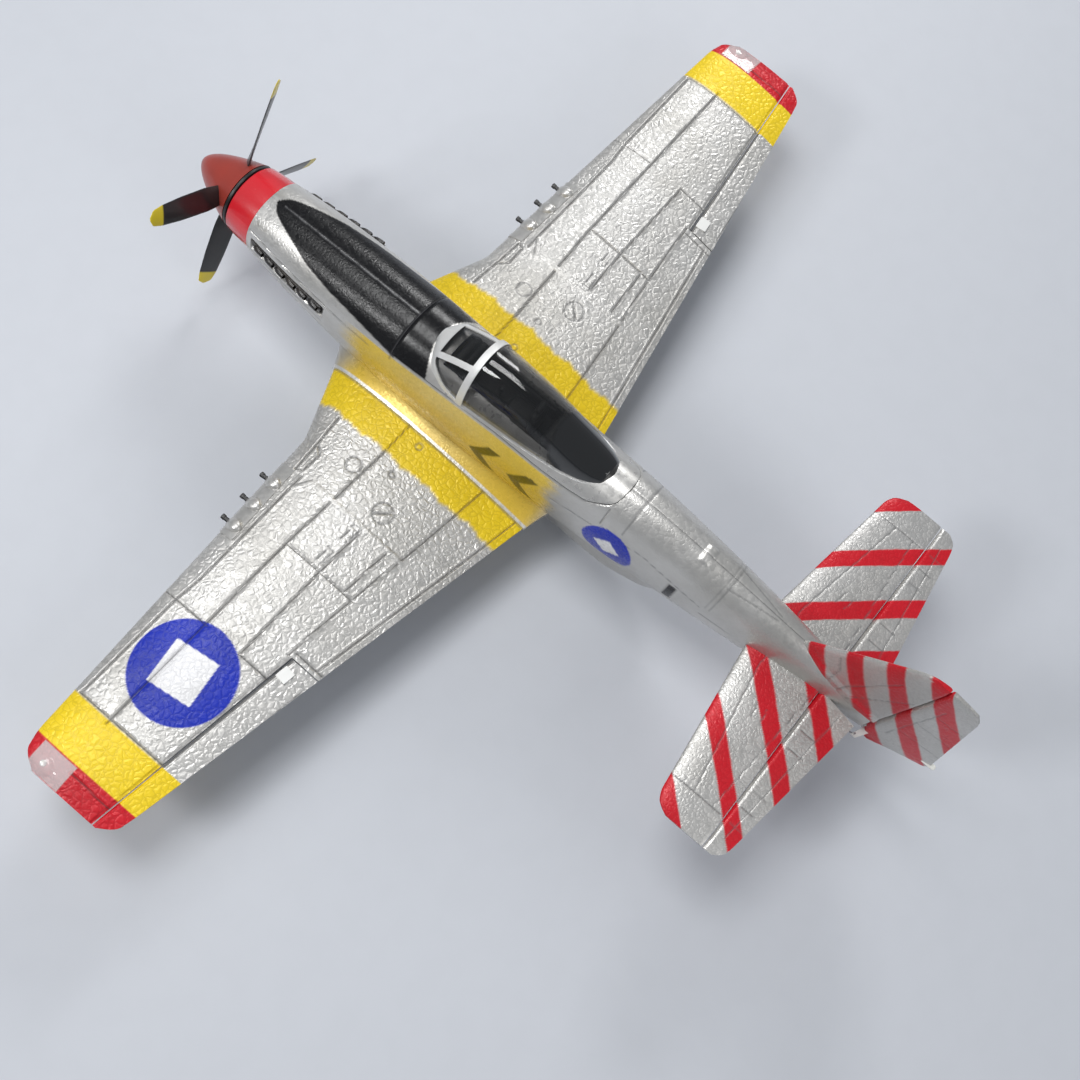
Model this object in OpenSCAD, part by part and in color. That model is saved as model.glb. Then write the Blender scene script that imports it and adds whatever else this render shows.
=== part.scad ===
/* [Airframe] */
// Wing span, tip to tip
span = 560; // [550:1:570]
// Height of the thrust line above the belly rest face
thrust_h = 57; // [56:0.5:60]
// Upward angle of each wing panel
dihedral = 3.5; // [2:0.5:5]
// Thickness of the foam fuselage wall
foam_wall = 3.5; // [3:0.25:4.5]
// Gap left round every piece that is glued or seated
seat_gap = 0.1; // [0.05:0.05:0.2]

/* [Propeller and motor] */
// Radius of the propeller, shaft to blade tip
prop_r = 66; // [60:0.5:66.5]
// Clock angle of the first blade, from straight up towards port
prop_clock = 57; // [52:1:58]
// Radius of the spinner at its back plate
spinner_r = 18.9; // [18:0.1:19.2]
// Diameter of the motor shaft
shaft_d = 3; // [2:0.5:3.5]
// Outer diameter of the motor bell
bell_d = 20; // [18:1:24]

/* [Controls] */
// Radius of every servo arm and control horn, pivot to hole
arm_r = 9; // [8:0.5:10]
// Diameter of the pushrod wire
rod_d = 1; // [0.8:0.1:1.2]
// Gap at a hinge line
hinge_gap = 0.6; // [0.4:0.1:1]
// Running clearance round a pin, on the radius
run_gap = 0.06; // [0.04:0.01:0.1]
// Bevel of a control surface at its hinge
bevel = 32; // [28:1:40]

/* [Canopy] */
// Height of the bubble above the thrust line
bubble_top = 47; // [44:0.5:50]
// Wall of the clear canopy moulding
glaze = 0.8; // [0.5:0.1:1]

/* [Hidden] */

big = 400;
rest_s = 242;                 // station of the rest face centre behind the spinner tip
function Y(s) = s - rest_s;   // station to frame
function Z(h) = thrust_h + h; // height over the thrust line to frame

// Fuselage outline: station, then half width, top, bottom and the level of the widest point
half_w = [[50, 21], [80, 24.4], [114, 26.6], [150, 27], [200, 26.4], [250, 23.2], [300, 20.6],
    [336, 18], [362, 15.8], [400, 11.8], [425, 8.6], [450, 5]];
top_h = [[50, 21], [60, 22.6], [100, 25], [150, 27.5], [200, 28.5], [260, 29.3], [288, 31],
    [310, 30.6], [336, 28.8], [362, 26.6], [400, 22.5], [425, 18], [450, 12]];
bottom_h = [[50, -21], [64, -25], [100, -30], [130, -35], [180, -41], [260, -40], [300, -34.5],
    [336, -28.5], [380, -22], [425, -16.5], [450, -13]];
mid_h = [[50, 0], [80, -2], [150, -6], [200, -8], [260, -6], [336, -2], [400, 0], [450, 0]];
nose_s = 50;
tail_s = 449.6;
seams = [50, 57, 64, 80, 100, 114, 130, 150, 180, 200, 230, 250, 275, 300, 336, 362, 380, 400,
    425, tail_s];
round_n = 2.15;
ring_pts = 44;

function pw(v, e) = sign(v) * pow(abs(v), 2 / e);
function ring(s, g) = let (w = lookup(s, half_w) + g, m = lookup(s, mid_h),
    t = lookup(s, top_h) + g - m, b = m - lookup(s, bottom_h) + g)
    [for (i = [0 : ring_pts - 1]) let (a = 360 * i / ring_pts)
        [w * pw(cos(a), round_n), m + (sin(a) > 0 ? t : b) * pw(sin(a), round_n)]];

// Skin of a closed shape through rings with the same number of points, each running
// anticlockwise as seen from the first ring
module loft(rings) {
    n = len(rings[0]);
    m = len(rings) - 1;
    cap = [for (k = [1 : floor((n - 1) / 2)]) if (k + 1 < n - k) each concat([[k, k + 1, n - k]],
        k + 1 < n - k - 1 ? [[k + 1, n - k - 1, n - k]] : [])];
    first = concat([[0, 1, n - 1]], cap);
    polyhedron(points = [for (r = rings) each r], faces = concat(
        [for (t = first) [t[2], t[1], t[0]]],
        [for (t = first) [for (v = t) v + m * n]],
        [for (i = [0 : m - 1], j = [0 : n - 1]) let (a = i * n + j, b = i * n + (j + 1) % n)
            each [[a, b, a + n], [a + n, b, b + n]]]));
}

function between(list, from, to) = concat([from], [for (v = list) if (v > from && v < to) v], [to]);

// Lofted fuselage shape between two stations, grown by g
module body_shape(from, to, g = 0) {
    loft([for (s = between(seams, from, to)) [for (p = ring(s, g)) [p[0], Y(s), Z(p[1])]]]);
}

// A side view outline, (station, height), pushed through from x0 to x1
module side_prism(pts, x0, x1) {
    translate([x0, Y(0), thrust_h]) rotate([90, 0, 90]) linear_extrude(x1 - x0) polygon(pts);
}

// A plan outline, (x, station), pushed through from height h0 to h1
module plan_prism(pts, h0, h1) {
    translate([0, Y(0), Z(h0)]) linear_extrude(h1 - h0) polygon(pts);
}

// A box given by x, station and height ranges
module block(x, s, h) {
    translate([x[0], Y(s[0]), Z(h[0])]) cube([x[1] - x[0], s[1] - s[0], h[1] - h[0]]);
}

// A cylinder along Y from station s0 to s1
module along(s0, s1, d, x = 0, h = 0, n = 32) {
    translate([x, Y(s0), Z(h)]) rotate([-90, 0, 0]) cylinder(d = d, h = s1 - s0, $fn = n);
}

// ---- Wing ----
tip_x = span / 2;
wing_x = [0, 28, 73.5, tip_x - 15, tip_x - 5, tip_x];
le_s = [[0, 118], [28, 118.5], [73.5, 137.3], [tip_x - 15, 148.3], [tip_x - 5, 151],
    [tip_x, 160]];
te_s = [[0, 259.8], [tip_x - 15, 210.4], [tip_x - 5, 208], [tip_x, 200]];
thick = [[0, 0.15], [73.5, 0.145], [tip_x - 15, 0.12], [tip_x - 5, 0.09], [tip_x, 0.03]];
root_h = -32.5;
foil_pts = 16;
te_thick = 1.2;

function chord_h(x) = root_h + x * tan(dihedral);
function half_thick(u, c, t) = 5 * t * c * (0.2969 * sqrt(u) - 0.126 * u - 0.3516 * u * u
    + 0.2843 * pow(u, 3) - 0.1036 * pow(u, 4)) + te_thick / 2 * u;
wing_camber = 0.06;

// Section with one leading edge point: (distance aft, height), over the top and back underneath
function foil(c, t, g, bend) = [for (i = [0 : 2 * foil_pts])
    let (u = (1 - cos(180 * min(i, 2 * foil_pts + 1 - i) / foil_pts)) / 2,
        side = i == 0 ? 0 : i <= foil_pts ? 1 : -1)
    [u * (c + 2 * g) - g, bend * c * u * (1 - u) + side * (half_thick(u, c, t) + g)]];

function wing_ring(x, g) = let (le = lookup(x, le_s)) [for (p =
    foil(lookup(x, te_s) - le, lookup(x, thick), g, wing_camber))
    [x, Y(le + p[0]), Z(chord_h(x) + p[1])]];

module wing_blank(g = 0) {
    loft([for (x = wing_x) wing_ring(x, g)]);
}

// Aileron hinge: its inboard end and the way it runs
hinge_x = 163.5;
hinge_s = 212.5;
hinge_sweep = -7.2;
hinge_len = 125;
module at_aileron() {
    translate([hinge_x, Y(hinge_s), Z(chord_h(hinge_x))]) rotate([0, -dihedral, 0])
        rotate([0, 0, hinge_sweep]) children();
}

// Wedge that starts at the hinge and opens aft; what lies in it moves
module hinge_wedge(x0, x1, deep, tall) {
    g = hinge_gap / 2;
    translate([x0, 0, 0]) rotate([90, 0, 90]) linear_extrude(x1 - x0)
        polygon([[g, 0], [g + tall * tan(bevel), tall], [deep, tall], [deep, -tall],
            [g + tall * tan(bevel), -tall]]);
}

module port(mirrored) {
    if (mirrored) mirror([1, 0, 0]) children();
    else children();
}

// ---- Servo, arm, rod and horn, drawn with the output shaft along X and the arm down ----
arm_t = 1.6;
horn_t = 1.2;
servo_l = 20;
servo_w = 17;
servo_t = 8.5;
shaft_out = 4;
rod_off = 2;
pin_in = 1.4;
hole_d = rod_d + 2 * run_gap;

module servo_body() {
    color("dimgray") difference() {
        union() {
            translate([1.4, -5, -servo_t / 2]) cube([servo_w, servo_l, servo_t]);
            translate([5, -7.5, -servo_t / 2]) cube([1.2, servo_l + 5, servo_t]);
        }
        translate([1, 0, 0]) rotate([0, 90, 0])
            cylinder(d = shaft_out + 2 * run_gap, h = 4.2, $fn = 32);
        for (y = [-6.3, servo_l - 3.7]) translate([0, y, 0]) rotate([0, 90, 0])
            cylinder(d = 1.2, h = 8, $fn = 24);
    }
}

module servo_lever() {
    color("white") difference() {
        union() {
            rotate([0, 90, 0]) translate([0, 0, -arm_t / 2])
                cylinder(d = 5.4, h = arm_t, $fn = 32);
            rotate([0, 90, 0]) cylinder(d = shaft_out, h = 5, $fn = 32);
            translate([-arm_t / 2, -1.4, -arm_r]) cube([arm_t, 2.8, arm_r]);
            translate([-arm_t / 2, 0, -arm_r]) rotate([0, 90, 0])
                cylinder(d = 2.8, h = arm_t, $fn = 32);
        }
        translate([-big / 2, 0, -arm_r]) rotate([0, 90, 0])
            cylinder(d = hole_d, h = big, $fn = 32);
    }
}

module pushrod(len) {
    color("silver") {
        for (y = [0, len]) translate([-rod_off, y, -arm_r]) {
            sphere(d = rod_d, $fn = 24);
            rotate([0, 90, 0]) cylinder(d = rod_d, h = rod_off + pin_in, $fn = 24);
        }
        translate([-rod_off, 0, -arm_r]) rotate([-90, 0, 0])
            cylinder(d = rod_d, h = len, $fn = 24);
    }
}

// Control horn: plate with the hole under the hinge, foot aft of it, clamp on the far side
foot = [1.2, 7.4];
module horn(foot_z, clamp_z, g = 0) {
    color("white") difference() {
        union() {
            translate([-horn_t / 2 - g, 0, 0]) rotate([90, 0, 90])
                linear_extrude(horn_t + 2 * g) polygon([[-1.5 - g, -arm_r - 1.5 - g],
                    [1.5 + g, -arm_r - 1.5 - g], [foot[1] - 0.6 + g, foot_z + 0.4],
                    [foot[0] + 1.2 - g, foot_z + 0.4]]);
            translate([-3.5 - g, foot[0] - g, foot_z - g])
                cube([7 + 2 * g, foot[1] - foot[0] + 2 * g, 0.8 + 2 * g]);
            translate([-0.7 - g, 3 - g, foot_z + 0.4])
                cube([1.4 + 2 * g, 2.6 + 2 * g, clamp_z - foot_z]);
            translate([-3.5 - g, foot[0] - g, clamp_z - g])
                cube([7 + 2 * g, foot[1] - foot[0] + 2 * g, 0.8 + 2 * g]);
        }
        if (g == 0) translate([-big / 2, 0, -arm_r]) rotate([0, 90, 0])
            cylinder(d = hole_d, h = big, $fn = 32);
    }
}

// ---- Aileron linkage, in the hinge frame ----
ail_arm_x = 8;
ail_rod = 40;
ail_foot_z = -2.2;
ail_clamp_z = 2.75;
module at_aileron_servo() {
    at_aileron() translate([ail_arm_x, -ail_rod, 0]) children();
}

module wing_panel() {
    color("silver") difference() {
        wing_blank();
        at_aileron() translate([-0.9, -hinge_gap / 2, -20]) cube([hinge_len, 60, 40]);
        at_aileron_servo() {
            translate([1.3, -7.6, -30]) cube([servo_w + 0.2, servo_l + 5.2, 30 + servo_t / 2 + 0.1]);
            translate([-3, -9, -30]) cube([4.4, 18, 33.4]);
        }
        spar(seat_gap / 2, -2);
        muzzles(seat_gap / 2);
        tip_lamp(seat_gap);
    }
}

module aileron() {
    color("silver") difference() {
        intersection() {
            wing_blank();
            at_aileron() hinge_wedge(0, hinge_len, 60, 20);
        }
        at_aileron() translate([ail_arm_x, 0, 0]) horn(ail_foot_z, ail_clamp_z, 0.05);
        tip_lamp(seat_gap);
    }
}

spar_d = 3;
spar_s = 176;
spar_len = 160;
module spar(g = 0, from = 1) {
    color("#222222") translate([from, Y(spar_s), Z(chord_h(from) + 2)])
        rotate([0, 90 - dihedral, 0]) cylinder(d = spar_d + 2 * g, h = spar_len - from + 4 * g, $fn = 32);
}

gun_x = [103, 118, 132.5];
module muzzles(g = 0) {
    for (x = gun_x) along(lookup(x, le_s) - 4.5, lookup(x, le_s) + 8, 2.2 + 2 * g,
        x, chord_h(x) + 0.8, 24);
}

module gun_cover() {
    color("silver") difference() {
        union() {
            intersection() {
                wing_blank(0.6);
                plan_prism([[91.2, 130], [91.2, 147], [139.5, 149.8], [139.5, 130]], -40, 0);
                for (x = [80, 120]) translate([x, Y(120), Z(chord_h(x) + 1.6)])
                    cube([40, 40, 30]);
            }
            for (x = gun_x) translate([x + 8, Y(lookup(x, le_s) + 6.2), Z(chord_h(x) + 2.4)])
                sphere(r = 3.6, $fn = 24);
        }
        wing_blank(0.02);
        muzzles(seat_gap / 2);
    }
}

lamp_s = [155, 175];
led_s = 163;
module tip_lamp(g = 0) {
    translate([tip_x - 14 - g, Y(lamp_s[0]) - g, Z(chord_h(tip_x - 8)) - 2.4 - g])
        cube([20, lamp_s[1] - lamp_s[0] + 2 * g, 20]);
}

module tip_light() {
    color("whitesmoke", 0.5) difference() {
        intersection() {
            wing_blank();
            tip_lamp();
        }
        translate([tip_x - 6, Y(led_s), Z(chord_h(tip_x - 8)) - 3]) cylinder(d = 3.3, h = 5.2, $fn = 32);
    }
}

module tip_led() {
    color("white") {
        translate([tip_x - 6, Y(led_s), Z(chord_h(tip_x - 8)) - 2.3]) cylinder(d = 3, h = 3, $fn = 32);
        translate([tip_x - 6, Y(led_s), Z(chord_h(tip_x - 8)) + 0.7]) sphere(d = 3, $fn = 32);
    }
}

// ---- Hatch ----
hatch_front = 150;
hatch_rear = 288;
hatch_line = [[hatch_front, 15.2], [192, 17.2], [215, 17.8], [245, 17.2], [260, 17.8],
    [272, 19.4], [284, 26]];
function hatch_side(g) = concat([[hatch_front - g, 70]],
    [for (p = hatch_line) [p[0] - g * 0.4, p[1] - g]], [[hatch_rear + g, 34], [hatch_rear + g, 70]]);

module hatch_cut(g = 0) {
    side_prism(hatch_side(g), -40, 40);
}

// Canopy outline: station, half width at the foot, foot height and top height
foot_w = [[164, 4], [167, 11], [171, 16], [181, 19.2], [192, 20], [228, 17], [253, 14.4],
    [267, 11], [277, 3]];
foot_h = [[164, 27], [167, 24], [171, 20.5], [181, 17.5], [192, 16.4], [228, 18.6], [253, 21],
    [267, 24.5], [277, 30]];
top_c = [[164, 28.6], [167, 30.5], [181, 39.5], [192, bubble_top - 1.5], [206, bubble_top],
    [222, bubble_top - 0.6], [240, bubble_top - 4], [258, bubble_top - 9.5], [270, 34.4],
    [277, 31.6]];
canopy_seams = [167, 171, 181, 192, 206, 222, 240, 253, 267];

dome_pts = 24;
function dome(s, g) = let (w = lookup(s, foot_w) + g, f = lookup(s, foot_h) - 3,
    t = lookup(s, top_c) + g)
    [for (i = [0 : dome_pts]) let (a = 180 * i / dome_pts) [w * cos(a), f + (t - f) * sin(a)]];

module canopy_shape(g = 0) {
    loft([for (s = between(canopy_seams, 164 - g, 277 + g))
        [for (p = dome(s, g)) [p[0], Y(s), Z(p[1])]]]);
}

module hatch_deck() {
    color("silver") difference() {
        intersection() {
            body_shape(hatch_front, hatch_rear);
            hatch_cut(-0.15);
        }
        intersection() {
            body_shape(hatch_front + 4, hatch_rear - 6, -3);
            block([-40, 40], [hatch_front + 14, 254], [-10, 23]);
        }
        block([-10.5, 10.5], [176, 250], [5, 60]);
        magnets(hatch_magnet_h, seat_gap / 2);
    }
}

module cockpit_interior() {
    color("#181818") {
        difference() {
            union() {
                block([-10, 10], [177, 249], [10, 12]);
                block([-10, 10], [177, 179], [12, 30]);
                block([-9, 9], [238, 249], [12, 29]);
            }
            block([-6, 6], [185, 188], [5, 11]);
        }
        block([-5, 5], [212, 226], [12, 16]);
        block([-5, 5], [226, 229], [12, 31]);
        block([-7, 7], [179, 184], [20, 31]);
    }
}

module canopy_glazing() {
    color("#303438", 0.45) difference() {
        canopy_shape(0);
        canopy_shape(-glaze);
        body_shape(150, 290, 0.1);
    }
}

module windshield_frame() {
    bow = [[190.5, 0], [190.5, 60], [194, 60], [194, 0]];
    color("gainsboro") difference() {
        canopy_shape(0.7);
        canopy_shape(0.02);
        body_shape(150, 290, 0.1);
        difference() {
            side_prism([[160, 60], [160, 0], [300, 0], [300, 60]], -40, 40);
            side_prism(bow, -40, 40);
            side_prism([[160, 60], [160, 0], [166.5, 0], [170.5, 24], [169.2, 60]], -40, 40);
            for (m = [0, 1]) port(m == 1)
                plan_prism([[9.5, 162], [12.5, 162], [11.5, 192], [9, 192]], 10, 60);
        }
    }
}

magnet_s = [157, 262];
body_magnet_h = [12.8, 15.2];
hatch_magnet_h = [15.9, 18.9];
module magnets(level, g = 0) {
    color("gray") for (i = [0, 1]) translate([0, Y(magnet_s[i]), Z(level[i] - g)])
        cylinder(d = 6 + 2 * g, h = 2 + 2 * g, $fn = 32);
}

// ---- Fuselage ----
el_s = 421.5;                   // elevator hinge station
el_h = 2;                       // tailplane level
rud_s = 450.5;                  // rudder hinge station
rud_horn_h = -9.5;
el_arm_x = -14;
el_servo_s = 285;
rud_servo_s = 262;
cavity_front = 60;
cavity_rear = 335;

// One half shell, x0 to x1; side = 0 for port, 1 for starboard
module fuselage_half(x0, x1, side) {
    color("silver") difference() {
        intersection() {
            union() {
                body_shape(nose_s, tail_s);
                port(side == 1) loft([wing_ring(18, 5), wing_ring(33, 0.7)]);
            }
            block([x0, x1], [0, 500], [-80, 120]);
        }
        difference() {
            body_shape(cavity_front, cavity_rear, -foam_wall);
            block([-30, 30], [magnet_s[0] - 7, magnet_s[0] + 6], [6, 30]);
            block([-30, 30], [magnet_s[1] - 6, magnet_s[1] + 7], [10, 40]);
        }
        hatch_cut();
        magnets(body_magnet_h, seat_gap / 2);
        port(side == 1) wing_blank(seat_gap);
        port(side == 1) exhaust_recess(0, 10);
        along(nose_s - 1, 52.3, 38.4);
        along(nose_s - 1, cavity_front + 1, 27);
        stab_blank(seat_gap);
        block([-20, 20], [el_s - hinge_gap / 2, 435], [el_h - 5.6, el_h + 5.6]);
        block([el_arm_x - 4.4, el_arm_x + 0.6], [300, 430], [el_h - arm_r - 2, el_h - arm_r + 3]);
        block([6.4, 14], [300, 452], [rud_horn_h - 4, rud_horn_h + 1.6]);
        fin_blank(seat_gap);
    }
}

module nose_ring() {
    color("crimson") translate([0, Y(34), Z(0)]) rotate([-90, 0, 0]) rotate_extrude($fn = 96)
        polygon([[18.2, 0], [19.3, 0], [20.3, 6], [20.9, 15.9], [19.2, 15.9], [18.2, 6]]);
}

// Slot in the cowl side from station 54 to 104, kept deep below the skin, out to beyond it
stack_s = [54, 104];
stack_h = [2.6, 12.4];
slot_deep = 2.6;
module exhaust_recess(g, out) {
    x = [for (s = stack_s) lookup(s, half_w) - slot_deep + g];
    plan_prism([[x[0], stack_s[0] + g], [x[0] + out, stack_s[0] + g],
        [x[1] + out, stack_s[1] - g], [x[1], stack_s[1] - g]], stack_h[0] + g, stack_h[1] - g);
}

// Six stub stacks moulded on one base strip
module exhausts() {
    color("#151515") {
        exhaust_recess(seat_gap, 1);
        for (i = [0 : 5]) {
            s = 58 + 8.1 * i;
            translate([lookup(s, half_w) - slot_deep + 0.6, Y(s), Z(6 + 0.6 * i)]) {
                rotate([0, 90, 0]) cylinder(d = 3.4, h = 3, $fn = 24);
                translate([2.3, 0, 0]) rotate([-76, 0, -16]) cylinder(d = 3, h = 5.6, $fn = 24);
            }
        }
    }
}

// ---- Motor and propeller ----
module motor_mount() {
    color("#d8d8d8") difference() {
        union() {
            along(50.1, 52.1, 38);
            along(52.1, 58, 26.4);
        }
        along(49, 60, 7);
        along(53.6, 60, 22);
        for (a = [45 : 90 : 315]) along(49, 60, 2.1, 8 * sin(a), 8 * cos(a), 24);
    }
}

module motor_screws() {
    color("#404040") for (a = [45 : 90 : 315]) {
        along(48.05, 53.6, 1.9, 8 * sin(a), 8 * cos(a), 24);
        along(46.8, 48.05, 3.4, 8 * sin(a), 8 * cos(a), 24);
    }
}

module motor_stator() {
    color("#a05a2c") difference() {
        union() {
            along(48.1, 50, 20);
            along(37.6, 48.1, 6);
            along(38.2, 44.8, 15);
        }
        along(30, 51, shaft_d + 2 * run_gap);
        for (a = [45 : 90 : 315]) along(45, 51, 2.1, 8 * sin(a), 8 * cos(a), 24);
    }
}

module motor_bell() {
    color("#3a3a3e") difference() {
        union() {
            along(35, 45.2, bell_d);
            along(12, 49.5, shaft_d);
        }
        difference() {
            along(36.6, 46, bell_d - 2.4);
            along(30, 50, shaft_d);
        }
    }
}

module prop_adapter() {
    color("#b0b0b4") difference() {
        union() {
            along(12.5, 31, 5);
            along(29.6, 31, 9);
        }
        along(11, 32, shaft_d + 0.02);
    }
}

module spinner_backplate() {
    color("#101010") difference() {
        along(31.1, 33.1, 2 * spinner_r, n = 96);
        along(30, 35, shaft_d + 0.02);
    }
}

module prop_nut() {
    color("#c0c0c4") difference() {
        along(16.2, 19.6, 9, n = 6);
        along(15, 21, 5.02);
    }
}

// Blade sections: distance from the shaft, pitch, chord and thickness
blade_cuts = [[5.2, 50, 7.5, 2.6], [14, 42, 9.5, 2], [26, 33, 12, 1.5], [44, 27, 12, 1.2],
    [58, 24, 10.5, 1], [prop_r - 1.5, 22, 8, 0.8], [prop_r, 22, 5, 0.6]];
module blade() {
    loft([for (k = [len(blade_cuts) - 1 : -1 : 0]) let (c = blade_cuts[k])
        [for (i = [0 : 15]) let (a = 22.5 * i + 11.25, x = c[2] / 2 * cos(a), y = c[3] / 2 * sin(a))
            [x * cos(c[1]) - y * sin(c[1]), Y(24.6) + x * sin(c[1]) + y * cos(c[1]), Z(c[0])]]]);
}

module propeller() {
    color("#202020") translate([0, 0, thrust_h]) rotate([0, prop_clock, 0])
        translate([0, 0, -thrust_h]) difference() {
        union() {
            along(19.7, 29.5, 13);
            for (a = [0 : 90 : 270]) translate([0, 0, thrust_h]) rotate([0, a, 0])
                translate([0, 0, -thrust_h]) blade();
        }
        along(18, 31, 5.02);
    }
}

spin_len = 31;
function ogive(u) = spinner_r * pow(u, 0.56) * (1.02 - 0.02 * u);
module spinner() {
    n = 18;
    outer = [for (i = [0 : n]) [ogive(i / n) / ogive(1) * spinner_r, spin_len * i / n]];
    inner = [for (i = [n : -1 : 1]) [max(0, ogive(i / n) / ogive(1) * spinner_r - 1.1),
        max(2.5, spin_len * i / n)]];
    color("brown") difference() {
        translate([0, Y(0), Z(0)]) rotate([-90, 0, 0]) rotate_extrude($fn = 96)
            polygon(concat(outer, inner, [[0, 2.5]]));
        translate([0, 0, thrust_h]) rotate([0, prop_clock, 0]) translate([0, 0, -thrust_h])
            for (a = [0 : 90 : 270]) translate([0, 0, thrust_h]) rotate([0, a, 0])
                translate([-6, Y(18.5), 5]) cube([12, 13, 20]);
    }
}

// ---- Tail ----
// Tailplane sections: distance out, leading edge, trailing edge and thickness over chord
stab_cuts = [[0, 377, 447, 0.092], [98, 390, 433.2, 0.1], [103.5, 393, 431.4, 0.09],
    [106, 399, 427, 0.07]];
module stab_blank(g = 0) {
    loft([for (m = [-3 : 3]) let (c = stab_cuts[abs(m)])
        [for (p = foil(c[2] - c[1], c[3], g, 0)) [sign(m) * c[0], Y(c[1] + p[0]), Z(el_h + p[1])]]]);
}

module stabilizer() {
    color("silver") difference() {
        stab_blank();
        block([-120, 120], [el_s - hinge_gap / 2, 500], [-30, 30]);
    }
}

module elevator() {
    color("silver") difference() {
        intersection() {
            stab_blank();
            translate([0, Y(el_s), Z(el_h)]) hinge_wedge(-120, 120, 60, 20);
        }
        plan_prism([[-7.5, 400], [-7.5, 424], [-10.8, 450], [10.8, 450], [7.5, 424], [7.5, 400]],
            -30, 40);
        joiner(seat_gap / 2);
        translate([el_arm_x, Y(el_s), Z(el_h)]) horn(-2.6, 1.8, 0.05);
    }
}

module joiner(g = 0) {
    color("silver") {
        translate([-12, Y(el_s + 3.2), Z(el_h)]) rotate([0, 90, 0])
            cylinder(d = 1.5 + 2 * g, h = 24, $fn = 24);
        for (x = [-12, 12]) translate([x, Y(el_s + 3.2), Z(el_h)]) {
            sphere(d = 1.5 + 2 * g, $fn = 24);
            rotate([-90, 0, 0]) cylinder(d = 1.5 + 2 * g, h = 10, $fn = 24);
        }
    }
}

// Fin sections: height, leading edge, trailing edge and thickness
fin_cuts = [[10, 391, 496, 9], [28, 400.7, 492, 8.4], [82, 436, 474, 4.6], [86, 439.5, 468, 3.6],
    [88, 443, 462, 2]];
function fin_ring(c, g) = [for (i = [0 : 23]) let (a = 15 * i)
    [(c[3] / 2 + g) * sin(a) * (1 + 0.3 * cos(a)),
        Y((c[1] + c[2]) / 2 - ((c[2] - c[1]) / 2 + g) * cos(a)), Z(c[0])]];
module fin_blank(g = 0) {
    loft([for (k = [len(fin_cuts) - 1 : -1 : 0]) fin_ring(fin_cuts[k], g)]);
}

module fin() {
    color("silver") difference() {
        fin_blank();
        block([-20, 20], [rud_s - hinge_gap / 2, 520], [-50, 120]);
        block([-20, 20], [380, 520], [-50, 10.2]);
    }
}

rud_side = [[rud_s, -13], [460, -21.6], [464, -21], [486, -4], [487, 2], [470.5, 79],
    [466, 86], [rud_s, 88]];
module rudder() {
    g = hinge_gap / 2;
    color("silver") difference() {
        intersection() {
            side_prism(rud_side, -10, 10);
            plan_prism([[0, rud_s + g], [6 * cos(bevel), rud_s + g + 6 * sin(bevel)],
                [4.4, 460], [0.7, 487], [-0.7, 487], [-4.4, 460],
                [-6 * cos(bevel), rud_s + g + 6 * sin(bevel)]], -30, 100);
            hull() {
                plan_prism([[-4.6, 440], [4.6, 440], [1.2, 490], [-1.2, 490]], -24, -23.9);
                plan_prism([[-2.4, 440], [2.4, 440], [0.7, 490], [-0.7, 490]], 90, 90.1);
            }
        }
        at_rudder() horn(-2.6, 1.8, 0.05);
        tail_lamp(0.05);
    }
}

module at_rudder() {
    translate([0, Y(rud_s), Z(rud_horn_h)]) rotate([0, -90, 0]) children();
}

module tail_lamp(g = 0) {
    color("whitesmoke") {
        along(482, 488.5, 3 + 2 * g, 0, 2, 32);
        translate([0, Y(488.5), Z(2)]) sphere(d = 3 + 2 * g, $fn = 32);
    }
}

// ---- Belly ----
scoop_side = [[188, -45], [188, -55.5], [190, -thrust_h], [294, -thrust_h], [322, -47],
    [332, -36], [332, -20], [188, -20]];
module belly_scoop() {
    color("silver") difference() {
        intersection() {
            side_prism(scoop_side, -14, 14);
            plan_prism([[-13, 188], [13, 188], [14, 200], [14, 300], [8, 332], [-8, 332],
                [-14, 300], [-14, 200]], -80, 0);
        }
        block([-11, 11], [180, 225], [-54, -44.5]);
        body_shape(150, 400, seat_gap);
        for (m = [0, 1]) port(m == 1) loft([wing_ring(-1, seat_gap), wing_ring(20, seat_gap)]);
    }
}

// ---- Electrics ----
module battery() {
    color("royalblue") {
        block([-9, 9], [80, 130], [-20.5, -8.5]);
    }
}

module battery_strap() {
    color("#222222") difference() {
        block([-10.4, 10.4], [100, 110], [-21.9, -7.1]);
        block([-9.2, 9.2], [90, 120], [-20.7, -8.3]);
    }
}

board_h = -17.6;
module receiver_board() {
    color("seagreen") {
        block([-11, 11], [192, 232], [board_h, board_h + 1.6]);
        block([-9, 9], [196, 210], [board_h + 1.6, board_h + 6]);
        block([-4, 4], [214, 222], [board_h + 1.6, board_h + 4]);
        block([-10, 10], [226, 231], [board_h + 1.6, board_h + 7]);
    }
}

module motor_wires() {
    color("#c02020") for (x = [-3, 0, 3]) along(59, 195, 1.4, x, -6, 16);
}

fuselage_half(0.05, 60, 0);  // fuselage_left
fuselage_half(-60, -0.05, 1);  // fuselage_right
nose_ring();
motor_mount();
motor_screws();
motor_stator();
motor_bell();
prop_adapter();
spinner_backplate();
propeller();
prop_nut();
spinner();
exhausts();  // exhausts_left
mirror([1, 0, 0]) exhausts();  // exhausts_right
hatch_deck();
cockpit_interior();
canopy_glazing();
windshield_frame();
magnets(hatch_magnet_h);  // hatch_magnets
magnets(body_magnet_h);  // fuselage_magnets
wing_panel();  // wing_left
mirror([1, 0, 0]) wing_panel();  // wing_right
for (m = [0, 1]) port(m == 1) spar();  // wing_spars
gun_cover();  // gun_cover_left
mirror([1, 0, 0]) gun_cover();  // gun_cover_right
color("#151515") for (m = [0, 1]) port(m == 1) muzzles();  // gun_muzzles
aileron();  // aileron_left
mirror([1, 0, 0]) aileron();  // aileron_right
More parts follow.
